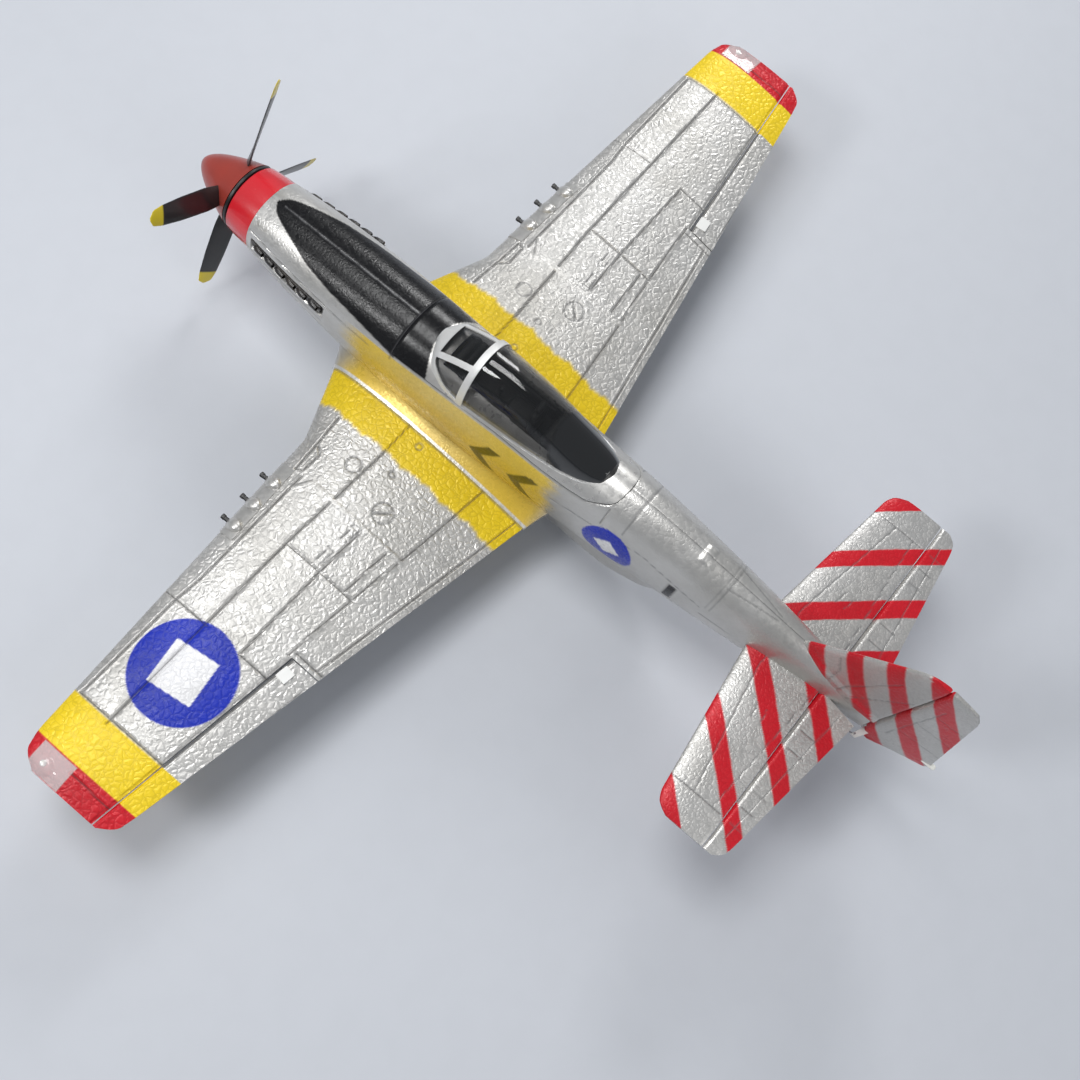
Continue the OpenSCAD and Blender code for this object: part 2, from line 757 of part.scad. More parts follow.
at_aileron() translate([ail_arm_x, 0, 0]) horn(ail_foot_z, ail_clamp_z);  // aileron_horn_left
mirror([1, 0, 0])  // aileron_horn_right
    at_aileron() translate([ail_arm_x, 0, 0]) horn(ail_foot_z, ail_clamp_z);
at_aileron_servo() servo_body();  // aileron_servo_left
mirror([1, 0, 0]) at_aileron_servo() servo_body();  // aileron_servo_right
at_aileron_servo() servo_lever();  // aileron_servo_arm_left
mirror([1, 0, 0]) at_aileron_servo() servo_lever();  // aileron_servo_arm_right
at_aileron_servo() pushrod(ail_rod);  // aileron_rod_left
mirror([1, 0, 0]) at_aileron_servo() pushrod(ail_rod);  // aileron_rod_right
tip_light();  // tip_light_left
mirror([1, 0, 0]) tip_light();  // tip_light_right
for (m = [0, 1]) port(m == 1) tip_led();  // tip_leds
stabilizer();
elevator();
joiner();  // elevator_joiner
translate([el_arm_x, Y(el_s), Z(el_h)]) horn(-2.6, 1.8);  // elevator_horn
translate([el_arm_x, Y(el_servo_s), Z(el_h)]) servo_body();  // elevator_servo
translate([el_arm_x, Y(el_servo_s), Z(el_h)]) servo_lever();  // elevator_servo_arm
translate([el_arm_x, Y(el_servo_s), Z(el_h)]) pushrod(el_s - el_servo_s);  // elevator_rod
fin();
rudder();
at_rudder() horn(-2.6, 1.8);  // rudder_horn
translate([0, Y(rud_servo_s), Z(rud_horn_h)]) rotate([0, -90, 0]) servo_body();  // rudder_servo
translate([0, Y(rud_servo_s), Z(rud_horn_h)]) rotate([0, -90, 0]) servo_lever();  // rudder_servo_arm
translate([0, Y(rud_servo_s), Z(rud_horn_h)]) rotate([0, -90, 0])  // rudder_rod
        pushrod(rud_s - rud_servo_s);
tail_lamp();  // tail_led
belly_scoop();
battery();
battery_strap();
receiver_board();
motor_wires();
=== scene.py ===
import math

import bmesh
import bpy
import numpy as np
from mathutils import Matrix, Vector


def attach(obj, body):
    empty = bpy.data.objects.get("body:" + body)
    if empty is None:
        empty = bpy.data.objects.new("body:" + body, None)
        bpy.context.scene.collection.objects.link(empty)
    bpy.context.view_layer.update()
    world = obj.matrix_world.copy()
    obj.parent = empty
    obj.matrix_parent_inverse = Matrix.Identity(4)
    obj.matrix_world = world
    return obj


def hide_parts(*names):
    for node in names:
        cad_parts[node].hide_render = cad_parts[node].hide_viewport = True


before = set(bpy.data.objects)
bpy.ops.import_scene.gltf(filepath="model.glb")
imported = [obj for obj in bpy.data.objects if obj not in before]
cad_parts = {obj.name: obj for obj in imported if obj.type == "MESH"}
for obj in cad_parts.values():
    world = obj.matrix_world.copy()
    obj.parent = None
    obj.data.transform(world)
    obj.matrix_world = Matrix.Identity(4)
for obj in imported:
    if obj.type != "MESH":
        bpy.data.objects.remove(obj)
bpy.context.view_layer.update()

MM = 0.001
REST_S = 242.0  # station of the rest face centre behind the spinner tip
THRUST_H = 57.0  # height of the thrust line over the rest face
CREASE_FROM = math.radians(34)  # edges bent more than this are shaded sharp

# ---- Paint colours, linear RGB, and how metallic each is ----
SILVER = (0.585, 0.575, 0.555, 1.0)
BRIGHT = (0.82, 0.82, 0.81, 1.0)
YELLOW = (0.80, 0.58, 0.018, 0.1)
GOLD = (0.70, 0.48, 0.02, 0.15)
RED = (0.55, 0.012, 0.022, 0.1)
BLUE = (0.012, 0.03, 0.42, 0.0)
WHITE = (0.82, 0.82, 0.84, 0.1)
BLACK = (0.006, 0.006, 0.007, 0.0)

# ---- Fuselage outline: station against half width, top, bottom and widest level ----
HALF_W = ((50, 21), (80, 24.4), (114, 26.6), (150, 27), (200, 26.4), (250, 23.2),
          (300, 20.6), (336, 18), (362, 15.8), (400, 11.8), (425, 8.6), (450, 5))
TOP_H = ((50, 21), (60, 22.6), (100, 25), (150, 27.5), (200, 28.5), (260, 29.3),
         (288, 31), (310, 30.6), (336, 28.8), (362, 26.6), (400, 22.5), (425, 18), (450, 12))
BOTTOM_H = ((50, -21), (64, -25), (100, -30), (130, -35), (180, -41), (260, -40),
            (300, -34.5), (336, -28.5), (380, -22), (425, -16.5), (450, -13))
MID_H = ((50, 0), (80, -2), (150, -6), (200, -8), (260, -6), (336, -2), (400, 0), (450, 0))
ROUND = 2 / 2.15
NOSE_S, TAIL_S = 50.0, 449.6
WALL = 3.5
EXHAUST_SLOT, SPINE_VENT = (53.4, 106), (333, 338)

HATCH_FRONT, HATCH_REAR = 150.0, 286.6
HATCH_LINE = ((100, 14), (150, 15.2), (192, 17.2), (215, 17.8), (245, 17.2), (260, 17.8),
              (272, 19.4), (284, 26), (286, 29), (286.6, 31.4))

FOOT_W = ((164, 4), (167, 11), (171, 16), (181, 18.8), (192, 19.4), (228, 17), (253, 14.6),
          (262, 13), (268, 11.2), (273, 8.4), (276, 5.4), (277.2, 2.4))
FOOT_H = ((164, 27), (167, 24), (171, 20.5), (181, 17.5), (192, 16.4), (228, 18.6),
          (253, 21), (267, 24.5), (277, 30))
CANOPY_TOP = ((164, 28.6), (167, 30.5), (181, 39.5), (192, 45.5), (206, 47), (222, 46.4),
              (240, 43), (258, 37.5), (270, 34.4), (277, 31.6))

# ---- Wing: distance out against leading edge, trailing edge and thickness ----
LE_S = ((0, 118), (28, 118.5), (73.5, 137.3), (265, 148.3), (275, 151), (280, 160))
TE_S = ((0, 259.8), (265, 210.4), (275, 208), (280, 200))
THICK = ((0, 0.15), (73.5, 0.145), (265, 0.12), (275, 0.09), (280, 0.03))
ROOT_H = -32.5
RISE = math.tan(math.radians(3.5))
CAMBER = 0.06
TE_THICK = 1.2
TIP_X = 280.0
HINGE_X, HINGE_S = 163.5, 212.5
HINGE_SLOPE = -math.tan(math.radians(7.2))
HINGE_GAP = 0.3
BEVEL = math.tan(math.radians(32))


def lin(rows, x):
    """Straight-line table, carried on past both ends."""
    rows = np.array(rows, float)
    x = np.asarray(x, float)
    a, b = rows[:, 0], rows[:, 1]
    y = np.interp(x, a, b)
    y = y + np.minimum(x - a[0], 0) * (b[1] - b[0]) / (a[1] - a[0])
    return y + np.maximum(x - a[-1], 0) * (b[-1] - b[-2]) / (a[-1] - a[-2])


def soft(rows, x, r):
    """The table with its corners rounded over r either side."""
    steps = np.linspace(-1, 1, 9)
    return sum(lin(rows, np.asarray(x, float) + r * k) for k in steps) / len(steps)


def pw(v):
    """Bends a circle's sine or cosine towards a squarer section."""
    return np.sign(v) * np.abs(v) ** ROUND


def step(lo, hi, v):
    t = np.clip((np.asarray(v, float) - lo) / (hi - lo), 0, 1)
    return t * t * (3 - 2 * t)


def fall(lo, hi, v):
    """1 below lo, 0 above hi."""
    return 1 - step(lo, hi, v)


def band(v, lo, hi, edge):
    """1 between lo and hi, 0 outside, with an edge that wide."""
    return step(lo - edge, lo + edge, v) * fall(hi - edge, hi + edge, v)


def wobble(v, size, seed=0.0):
    """A gentle wave of about that size, for hand-sprayed edges."""
    v = np.asarray(v, float)
    waves = ((0.21, 1.0), (0.47, 0.6), (0.93, 0.45), (1.9, 0.3))
    return size * sum(w * np.sin(v * f + seed * (k + 1.7)) for k, (f, w) in enumerate(waves)) / 1.6


def far(x, y, points):
    """Distance from each (x, y) to a polyline."""
    best = np.full(np.shape(x), 1e9)
    for (ax, ay), (bx, by) in zip(points, points[1:]):
        dx, dy = bx - ax, by - ay
        t = np.clip(((x - ax) * dx + (y - ay) * dy) / (dx * dx + dy * dy), 0, 1)
        best = np.minimum(best, np.hypot(x - ax - t * dx, y - ay - t * dy))
    return best


def lines(x, y, paths, half):
    """0..1, 1 on any of the polylines."""
    best = np.zeros(np.shape(x))
    for path in paths:
        best = np.maximum(best, fall(half * 0.35, half * 1.25, far(x, y, path)))
    return best


def mix(colour, other, amount):
    """Lays a paint (or an array of paints) over another by the amount."""
    amount = np.asarray(amount)[..., None]
    return colour * (1 - amount) + np.array(other) * amount


# ---- Mesh parts: (points in x, station, height; quads; tag: 1 on the outer skin) ----
def outward(points, quads):
    p = points - points.mean(0)
    volume = 0.0
    for a, b, c in ((0, 1, 2), (0, 2, 3)):
        volume += np.einsum("ij,ij->", p[quads[:, a]], np.cross(p[quads[:, b]], p[quads[:, c]]))
    return quads if volume > 0 else quads[:, ::-1]


def shell(outer, inner, keep=None):
    """Closed solid between two grids of points with the same rows and columns."""
    n, m = outer.shape[:2]
    if keep is None:
        keep = np.ones((n - 1, m - 1), bool)
    idx = np.arange(n * m).reshape(n, m)
    a, b, c, d = idx[:-1, :-1], idx[:-1, 1:], idx[1:, 1:], idx[1:, :-1]
    pad = np.pad(keep, 1)
    total = n * m
    quads = [np.stack([a, b, c, d], -1)[keep], np.stack([d, c, b, a], -1)[keep] + total]
    sides = ((a, b, pad[:-2, 1:-1]), (c, d, pad[2:, 1:-1]),
             (b, c, pad[1:-1, 2:]), (d, a, pad[1:-1, :-2]))
    for u, v, beyond in sides:
        rim = keep & ~beyond
        quads.append(np.stack([v, u, u + total, v + total], -1)[rim])
    quads = np.concatenate(quads)
    points = np.concatenate([outer.reshape(-1, 3), inner.reshape(-1, 3)])
    tag = np.concatenate([np.ones(total), np.zeros(total)])
    used = np.unique(quads)
    new = np.zeros(len(points), int)
    new[used] = np.arange(len(used))
    points, quads, tag = points[used], new[quads], tag[used]
    return points, outward(points, quads), tag


def tube(rings):
    """Closed solid through rings of points, each closed on itself."""
    n, m = rings.shape[:2]
    idx = np.arange(n * m).reshape(n, m)
    a, b = idx[:-1], np.roll(idx, -1, 1)[:-1]
    c, d = np.roll(idx, -1, 1)[1:], idx[1:]
    j = np.arange(m // 2 - 1)
    rung = np.stack([j, j + 1, m - 2 - j, m - 1 - j], -1)
    quads = np.concatenate([np.stack([a, b, c, d], -1).reshape(-1, 4), rung[:, ::-1],
                            rung + (n - 1) * m])
    points = rings.reshape(-1, 3)
    return points, outward(points, quads), np.ones(len(points))


def join(parts):
    points, quads, tags, base = [], [], [], 0
    for p, q, t in parts:
        points.append(p)
        quads.append(q + base)
        tags.append(t)
        base += len(p)
    return np.concatenate(points), np.concatenate(quads), np.concatenate(tags)


def as_built(part):
    return part


def mirrored(part):
    points, quads, tag = part
    return points * (-1, 1, 1), quads[:, ::-1], tag


def piece(name, parts, material, body, stands_for, paint=None, groove=None):
    """Makes the object: paint(x, s, h, tag) gives colours, groove the 0..1 mask of the grooves,
    which the foam material darkens as painted shade.
    """
    points, quads, tag = join(parts)
    x, s, h = points.T
    mesh = bpy.data.meshes.new(name)
    mesh.vertices.add(len(points))
    placed = np.stack([x, s - REST_S, h + THRUST_H], -1) * MM
    mesh.vertices.foreach_set("co", placed.astype(np.float32).ravel())
    mesh.loops.add(quads.size)
    mesh.loops.foreach_set("vertex_index", quads.astype(np.int32).ravel())
    mesh.polygons.add(len(quads))
    mesh.polygons.foreach_set("loop_start", np.arange(0, quads.size, 4, dtype=np.int32))
    mesh.update(calc_edges=True)
    mesh.validate()
    mesh.shade_smooth()
    mesh.set_sharp_from_angle(angle=CREASE_FROM)
    for made, kind, label, field in ((paint, "FLOAT_COLOR", "paint", "color"),
                                     (groove, "FLOAT", "groove", "value")):
        if made is not None:
            layer = mesh.attributes.new(label, kind, "POINT")
            layer.data.foreach_set(field, made(x, s, h, tag).astype(np.float32).ravel())
    mesh.materials.append(material)
    o = bpy.data.objects.new(name, mesh)
    bpy.context.scene.collection.objects.link(o)
    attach(o, body)
    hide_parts(*stands_for)
    return o


def coat(colour, n):
    return np.tile(np.array(colour, float), (n, 1))


# ---- Materials ----
def feed(tree, made, inputs):
    """Links or sets the inputs of a node."""
    for key, value in inputs.items():
        if isinstance(value, bpy.types.NodeSocket):
            tree.links.new(value, made.inputs[key])
        else:
            made.inputs[key].default_value = value


def node(tree, kind, inputs=(), **settings):
    """Adds a shader node with its settings and inputs."""
    made = tree.nodes.new("ShaderNode" + kind)
    for key, value in settings.items():
        setattr(made, key, value)
    feed(tree, made, dict(inputs))
    return made


def math_node(tree, operation, a, b, c=0.0):
    return node(tree, "Math", {0: a, 1: b, 2: c}, operation=operation).outputs[0]


def vector_node(tree, operation, *values):
    made = node(tree, "VectorMath", operation=operation)
    feed(tree, made, dict(enumerate(values)))
    return made.outputs[0]


def blended(tree, amount, a, b):
    made = node(tree, "Mix", {0: amount, 6: a, 7: b}, data_type="RGBA")
    return made.outputs[2]


def ramp(tree, value, lo, hi, out_lo=0.0, out_hi=1.0):
    return node(tree, "MapRange", {0: value, 1: lo, 2: hi, 3: out_lo, 4: out_hi},
                interpolation_type="SMOOTHSTEP").outputs[0]


def noise(tree, place, scale, detail, output="Fac"):
    made = node(tree, "TexNoise", {"Vector": place, "Scale": scale, "Detail": detail})
    return made.outputs[output]


def scaled(tree, value, by, plus):
    return math_node(tree, "MULTIPLY_ADD", value, by, plus)


def bumped(tree, height, strength, depth):
    """Normal for a surface whose relief is that many mm deep."""
    return node(tree, "Bump",
                {"Height": height, "Strength": strength, "Distance": depth * MM}).outputs[0]


def new_material(name):
    """The material, its tree, its shader and the object's own coordinates."""
    made = bpy.data.materials.new(name)
    made.use_nodes = True
    tree = made.node_tree
    place = node(tree, "TexCoord").outputs["Object"]
    return made, tree, tree.nodes["Principled BSDF"], place


def foam(name, bead, depth, rough, crease_shade):
    """Painted bead foam: colour from the piece's paint, cells of that size in mm, with painted
    shade in the creases between the cells and along the grooves.
    """
    made, tree, shader, place = new_material(name)
    warp = noise(tree, place, 260.0, 2.0, "Color")
    shift = vector_node(tree, "SUBTRACT", warp, (0.5, 0.5, 0.5))
    moved = vector_node(tree, "MULTIPLY_ADD", shift, (bead * 0.0011,) * 3, place)
    cells = node(tree, "TexVoronoi", {"Vector": moved, "Scale": 1000 / bead},
                 feature="DISTANCE_TO_EDGE").outputs["Distance"]
    dome = ramp(tree, cells, 0.0, 0.34)
    cell_id = node(tree, "TexVoronoi", {"Vector": moved, "Scale": 1000 / bead})
    tint = node(tree, "SeparateColor", {0: cell_id.outputs["Color"]}).outputs[0]
    fine = noise(tree, place, 1600.0, 4.0)
    broad = noise(tree, place, 22.0, 5.0)
    wrinkle = noise(tree, moved, 1400 / bead, 2.0)
    uneven = scaled(tree, wrinkle, 0.7, dome)
    height = scaled(tree, fine, 0.12, uneven)
    paint = node(tree, "Attribute", attribute_name="paint")
    own, metallic = paint.outputs["Color"], paint.outputs["Alpha"]
    groove_shade_mask = node(tree, "Attribute", attribute_name="groove").outputs["Fac"]
    # painted shade in the creases between the foam beads: each cell's colour darkens towards its
    # edge
    seam = ramp(tree, cells, 0.0, 0.1, crease_shade, 0.0)
    crease_shade_colour = vector_node(tree, "MULTIPLY", own, (0.4, 0.4, 0.4))
    colour = blended(tree, seam, own, crease_shade_colour)
    grime = vector_node(tree, "MULTIPLY", colour, (0.7, 0.69, 0.66))
    colour = blended(tree, ramp(tree, broad, 0.35, 0.75, 0.0, 0.6), colour, grime)
    # painted shade in the grooves and gaps: the colour is pulled towards near black along the
    # groove mask
    dark = math_node(tree, "MULTIPLY", groove_shade_mask, 0.55)
    colour = blended(tree, dark, colour, (0.10, 0.10, 0.105, 1))
    sheen = scaled(tree, tint, 0.14, rough - 0.07)
    sheen = scaled(tree, broad, 0.12, sheen)
    feed(tree, shader, {
        "Base Color": colour,
        "Metallic": math_node(tree, "MULTIPLY", metallic, 0.72),
        "Roughness": scaled(tree, metallic, 0.1, sheen),
        "Specular IOR Level": scaled(tree, metallic, 0.25, 0.25),
        "Normal": bumped(tree, height, 0.9, depth),
        "Coat Weight": 0.08,
        "Coat Roughness": 0.3,
    })
    return made


def plastic(name, colour, rough, grain=0.03, scale=700.0, metal=0.0, coat_amount=0.0,
            other=None, spread=0.5):
    """Moulded or turned part: base colour with a little mottling and a fine grain."""
    made, tree, shader, place = new_material(name)
    fine = noise(tree, place, scale, 5.0)
    broad = noise(tree, place, 60.0, 4.0)
    if other is None:
        other = tuple(0.72 * c + 0.01 for c in colour)
    amount = ramp(tree, broad, 0.35, 0.7, 0.0, spread)
    feed(tree, shader, {
        "Base Color": blended(tree, amount, tuple(colour) + (1,), tuple(other) + (1,)),
        "Roughness": scaled(tree, fine, 0.18, rough - 0.09),
        "Normal": bumped(tree, fine, 0.6, grain),
        "Metallic": metal,
        "Coat Weight": coat_amount,
        "Coat Roughness": 0.12,
    })
    return made


def painted(name, rough, grain):
    """Plastic whose colour is the piece's own paint."""
    made, tree, shader, place = new_material(name)
    fine = noise(tree, place, 900.0, 5.0)
    broad = noise(tree, place, 70.0, 4.0)
    paint = node(tree, "Attribute", attribute_name="paint").outputs["Color"]
    amount = ramp(tree, broad, 0.4, 0.75, 0.0, 0.2)
    feed(tree, shader, {
        "Base Color": blended(tree, amount, paint, (0.05, 0.05, 0.05, 1)),
        "Roughness": scaled(tree, fine, 0.22, rough - 0.11),
        "Normal": bumped(tree, fine, 0.6, grain),
        "Coat Weight": 0.3,
        "Coat Roughness": 0.08,
    })
    return made


def clear(name, tint, rough, alpha):
    """Thin clear moulding: a tinted film, solid where the piece's paint has alpha."""
    made, tree, shader, place = new_material(name)
    haze = noise(tree, place, 90.0, 4.0)
    paint = node(tree, "Attribute", attribute_name="paint").outputs["Alpha"]
    solid = scaled(tree, haze, 0.08, alpha - 0.04)
    feed(tree, shader, {
        "Base Color": tuple(tint) + (1,),
        "Alpha": math_node(tree, "MAXIMUM", solid, paint),
        "Roughness": scaled(tree, haze, 0.06, rough),
        "Specular IOR Level": 0.35,
        "Coat Weight": 1.0,
        "Coat Roughness": 0.04,
    })
    return made


WING_FOAM = foam("wing_foam", 3.4, 0.19, 0.3, crease_shade=0.3)
BODY_FOAM = foam("body_foam", 2.0, 0.04, 0.2, crease_shade=0.0)
TAIL_FOAM = foam("tail_foam", 2.2, 0.09, 0.28, crease_shade=0.2)
DECK_FOAM = foam("deck_skin", 1.6, 0.005, 0.18, crease_shade=0.0)
FRAME_PAINT = foam("frame_paint", 0.9, 0.05, 0.4, crease_shade=0.05)
GLASS = clear("smoked_canopy", (0.006, 0.0065, 0.007), 0.03, 0.42)
TIP_CLEAR = clear("clear_cover", (0.75, 0.73, 0.73), 0.06, 0.3)
SPINNER_RED = plastic("spinner_red", (0.30, 0.035, 0.022), 0.34, 0.03, coat_amount=0.25)
RING_RED = plastic("gloss_red", (0.62, 0.012, 0.022), 0.24, 0.015, coat_amount=0.6)
GAP_BLACK = plastic("satin_black", (0.008, 0.008, 0.009), 0.38, 0.02)
BLADE = painted("blade_plastic", 0.36, 0.05)
STACK = plastic("stack_black", (0.012, 0.011, 0.011), 0.3, 0.15, scale=400,
                other=(0.05, 0.04, 0.03))
COCKPIT = plastic("cockpit_dark", (0.018, 0.019, 0.02), 0.5, 0.08, other=(0.05, 0.05, 0.045))
METAL_GREY = plastic("worn_metal", (0.45, 0.45, 0.47), 0.32, 0.02, metal=1.0)
DARK_METAL = plastic("dark_metal", (0.09, 0.09, 0.1), 0.36, 0.03, metal=0.9)
COPPER = plastic("copper_wire", (0.55, 0.22, 0.09), 0.4, 0.12, scale=1500, metal=0.9)
WHITE_PLASTIC = plastic("white_plastic", (0.72, 0.72, 0.7), 0.38, 0.03, spread=0.25)
SERVO = plastic("servo_case", (0.02, 0.03, 0.12), 0.3, 0.04, coat_amount=0.2)
CARBON = plastic("carbon_rod", (0.015, 0.015, 0.016), 0.3, 0.06, scale=2200)
MOUNT = plastic("mount_plastic", (0.5, 0.5, 0.48), 0.42, 0.05)
BATTERY = plastic("battery_wrap", (0.02, 0.06, 0.32), 0.3, 0.03, coat_amount=0.3)
STRAP = plastic("strap_weave", (0.02, 0.02, 0.021), 0.75, 0.25, scale=1100)
BOARD = plastic("board_green", (0.01, 0.1, 0.045), 0.35, 0.04, scale=900)
WIRE = plastic("wire_sleeve", (0.4, 0.015, 0.012), 0.4, 0.03)
LAMP = plastic("lamp_white", (0.85, 0.84, 0.78), 0.2, 0.01, coat_amount=0.6, spread=0.15)


# ---- Fuselage ----
def body_point(s, a, g=0.0):
    """Point on the skin at station s and angle a (90 = top), grown by g."""
    w = soft(HALF_W, s, 9) + g
    m = soft(MID_H, s, 14)
    t = soft(TOP_H, s, 9) + g - m
    b = m - soft(BOTTOM_H, s, 9) + g
    c, n = np.cos(np.radians(a)), np.sin(np.radians(a))
    h = m + np.where(n > 0, t, b) * pw(n)
    return np.stack([w * pw(c), s + 0 * h, h], -1)


def angle_at(s, h):
    """Angle of the skin point at height h on the upper half."""
    m = soft(MID_H, s, 14)
    t = soft(TOP_H, s, 9) - m
    return np.degrees(np.arcsin(np.clip((h - m) / t, 0.0, 1.0) ** (1 / ROUND)))


BODY_LINES = (
    ((257, 4), (283, 9), (311, 13.5), (349, 7)),
    ((351, 0.7), (376, 0.6)),
    ((51, 12), (137, 10)),
    ((51, -0.5), (106, -2.5)),
    ((297, 40), (297, 17)),
    ((284.5, 24), (284.5, 14)),
    ((351.5, 40), (351.5, 9)),
    ((354, 40), (354, 9)),
    ((300, -12), (349, -9)),
)
TOP_LINES = (((353, 6.5), (382, 1.4)),)
DISC_S, DISC_H, DISC_R = 294, -1, 14.9
FADE_IN, FADE_OUT = (118, 136), (250, 262)  # ends of the sprayed yellow
CHEVRON_S, CHEVRON_LOW = (207, 231), -14.5
BAR_S, BAR_H = (330, 335), (-8, 8)  # black bar behind the disc


# Grooves and hatch gaps: cut into the skin, and darkened in the foam material as painted shade
def body_groove(x, s, h, tag):
    side = lines(s, h, BODY_LINES, 0.42)
    side = side * (0.25 + 0.75 * step(DISC_R, DISC_R + 1, np.hypot(s - DISC_S, h - DISC_H)))
    top = lines(s, np.abs(x), TOP_LINES, 0.42) * (h > 10) * 0.7
    seam = fall(0.1, 0.45, np.abs(x) - 0.05) * (s > 60) * 0.55
    hatch = fall(0.4, 1.1, np.abs(h - soft(HATCH_LINE, s, 2))) * (s > HATCH_FRONT)
    hatch = hatch * (s < HATCH_REAR)
    front = fall(0.3, 0.9, np.abs(s - HATCH_FRONT)) * (h > 12)
    return np.maximum.reduce([side, top, seam, hatch, front]) * tag


GLARE = ((54.1, 0), (57, 4.6), (62, 7.2), (71, 10.3), (87, 15.4), (105, 18.3), (127, 20.2),
         (150, 21.9))


def chevron(s, h, at, low):
    """A plain dark arrowhead, 20 mm long, pointing forward."""
    width, rise = 8.0, 11.0
    v = np.abs(h - low - rise)
    lead = s - at - v * 0.9
    return band(lead, 0, width, 0.3) * (v < rise)


def body_paint(x, s, h, tag):
    colour = coat(SILVER, len(x))
    fade = step(*FADE_IN, s + wobble(h, 3)) * fall(*FADE_OUT, s + wobble(h, 3))
    fade = fade * step(-35, -31, h) * fall(-1.6, -0.9, h - soft(HATCH_LINE, s, 2))
    colour = mix(colour, GOLD, fade * (0.85 + 0.08 * np.sin(s * 0.06)))
    mark = sum(chevron(s, h, at, CHEVRON_LOW) for at in CHEVRON_S)
    colour = mix(colour, (0.11, 0.085, 0.008, 0.1), mark * 0.95)
    dx, dh = np.abs(s - DISC_S), np.abs(h - DISC_H)
    disc = fall(DISC_R - 0.3, DISC_R + 0.3, np.hypot(dx, dh * 0.95))
    colour = mix(colour, BLUE, disc)
    colour = mix(colour, WHITE, fall(7.4, 7.9, dx * 0.95 + dh * 1.05))
    colour = mix(colour, BLACK, band(s, *BAR_S, 0.3) * band(h, *BAR_H, 0.3))
    edge = soft(GLARE, s, 2) - np.abs(x)
    glare = step(-0.25, 0.25, edge) * (h > 0) * (s > 54) * (s < HATCH_FRONT + 2)
    colour = mix(colour, BLACK, glare)
    centre = fall(0.08, 0.32, np.abs(x + 0.2) + wobble(s * 2, 0.1)) * (s > 59) * (s < 150)
    colour = mix(colour, (0.3, 0.3, 0.31, 0.5), centre * 0.45 * (h > 0))
    return np.where(tag[:, None] > 0.5, colour, coat((0.3, 0.3, 0.3, 0.1), len(x)))


def fuselage_half():
    s = np.concatenate([np.arange(NOSE_S, 149.6, 0.8), [149.94, 150.0],
                        np.arange(150.6, 283.5, 0.8), np.arange(283.6, 286.5, 0.3), [286.6],
                        np.arange(287.4, 449, 0.85), [TAIL_S]])[:, None]
    edge_h = np.where(s < HATCH_REAR, soft(HATCH_LINE, s, 1.5), 60.0)
    edge = np.where(s < HATCH_REAR - 0.01, angle_at(s, edge_h), 90.0)
    upper, lower = 34, 104
    k = np.arange(upper)[None] / upper
    j = np.arange(lower + 1)[None] / lower
    a = np.concatenate([90 + (edge - 90) * k, edge + (-90 - edge) * j], 1)
    s = s + 0 * a
    out = body_point(s, a)
    inner = body_point(s, a, -WALL)
    axis = np.stack([0 * s, s, soft(MID_H, s, 14)], -1)
    solid = step(400, 440, s)[..., None]
    inner = inner * (1 - solid) + (axis + (out - axis) * 0.05) * solid
    groove = body_groove(out[..., 0], s, out[..., 2], 1.0)
    away = out - axis
    away = away / np.linalg.norm(away, axis=-1, keepdims=True)
    slot = band(s, *EXHAUST_SLOT, 0.3) * band(out[..., 2], 1.6, 8.6, 0.3)
    vent = band(s, *SPINE_VENT, 0.8) * band(out[..., 0], -5, 5, 0.8) * (out[..., 2] > 0)
    out = out - away * (0.32 * groove + 1.9 * slot - 0.8 * vent)[..., None]
    out[..., 0] = np.maximum(out[..., 0], 0.05)
    inner[..., 0] = np.maximum(inner[..., 0], 0.05)
    middle = (s[:-1, :-1] + s[1:, 1:]) / 2
    column = np.arange(a.shape[1] - 1)[None]
    keep = (column >= upper) | (middle < HATCH_FRONT - 0.03)
    skin = shell(out, inner, keep)
    return [skin, fillet()]


def fillet():
    """Flared root strip that runs round the wing where it meets the fuselage."""
    x = np.linspace(5, 33, 44)[:, None]
    u = np.linspace(0, 1, 90)[None] ** 1.6
    flare = np.clip((33 - x) / 15, 0, 1) ** 2.1 * step(5, 20, x)
    grow = 0.65 + 6.2 * flare * (1 - 0.85 * u ** 5)
    up = wing_point(x + 0 * u, u, 1, grow)
    low = wing_point(x + 0 * u, u, -1, grow)
    rings = np.concatenate([up, low[:, ::-1]], 1)
    return tube(rings)


# ---- Wing ----
def chord_line(x):
    return ROOT_H + np.abs(x) * RISE


def half_thick(u, c, t):
    u = np.clip(u, 0, 1)
    return (5 * t * c * (0.2969 * np.sqrt(u) - 0.126 * u - 0.3516 * u ** 2
                         + 0.2843 * u ** 3 - 0.1036 * u ** 4) + TE_THICK / 2 * u)


def edges(x):
    """Stations of the leading and trailing edge."""
    return soft(LE_S, x, 2.5), soft(TE_S, x, 2.5)


def wing_point(x, u, side, g=0.0):
    """Point of the wing skin x out, u of the way along the chord, side 1 = top."""
    le, te = edges(x)
    c = te - le
    rise = CAMBER * c * u * (1 - u) + side * (half_thick(u, c, soft(THICK, x, 2.5)) + g)
    return np.stack([x + 0 * u, le + u * (c + 2 * g) - g, chord_line(x) + rise], -1)


def hinge_line(x):
    return HINGE_S + (x - HINGE_X) * HINGE_SLOPE


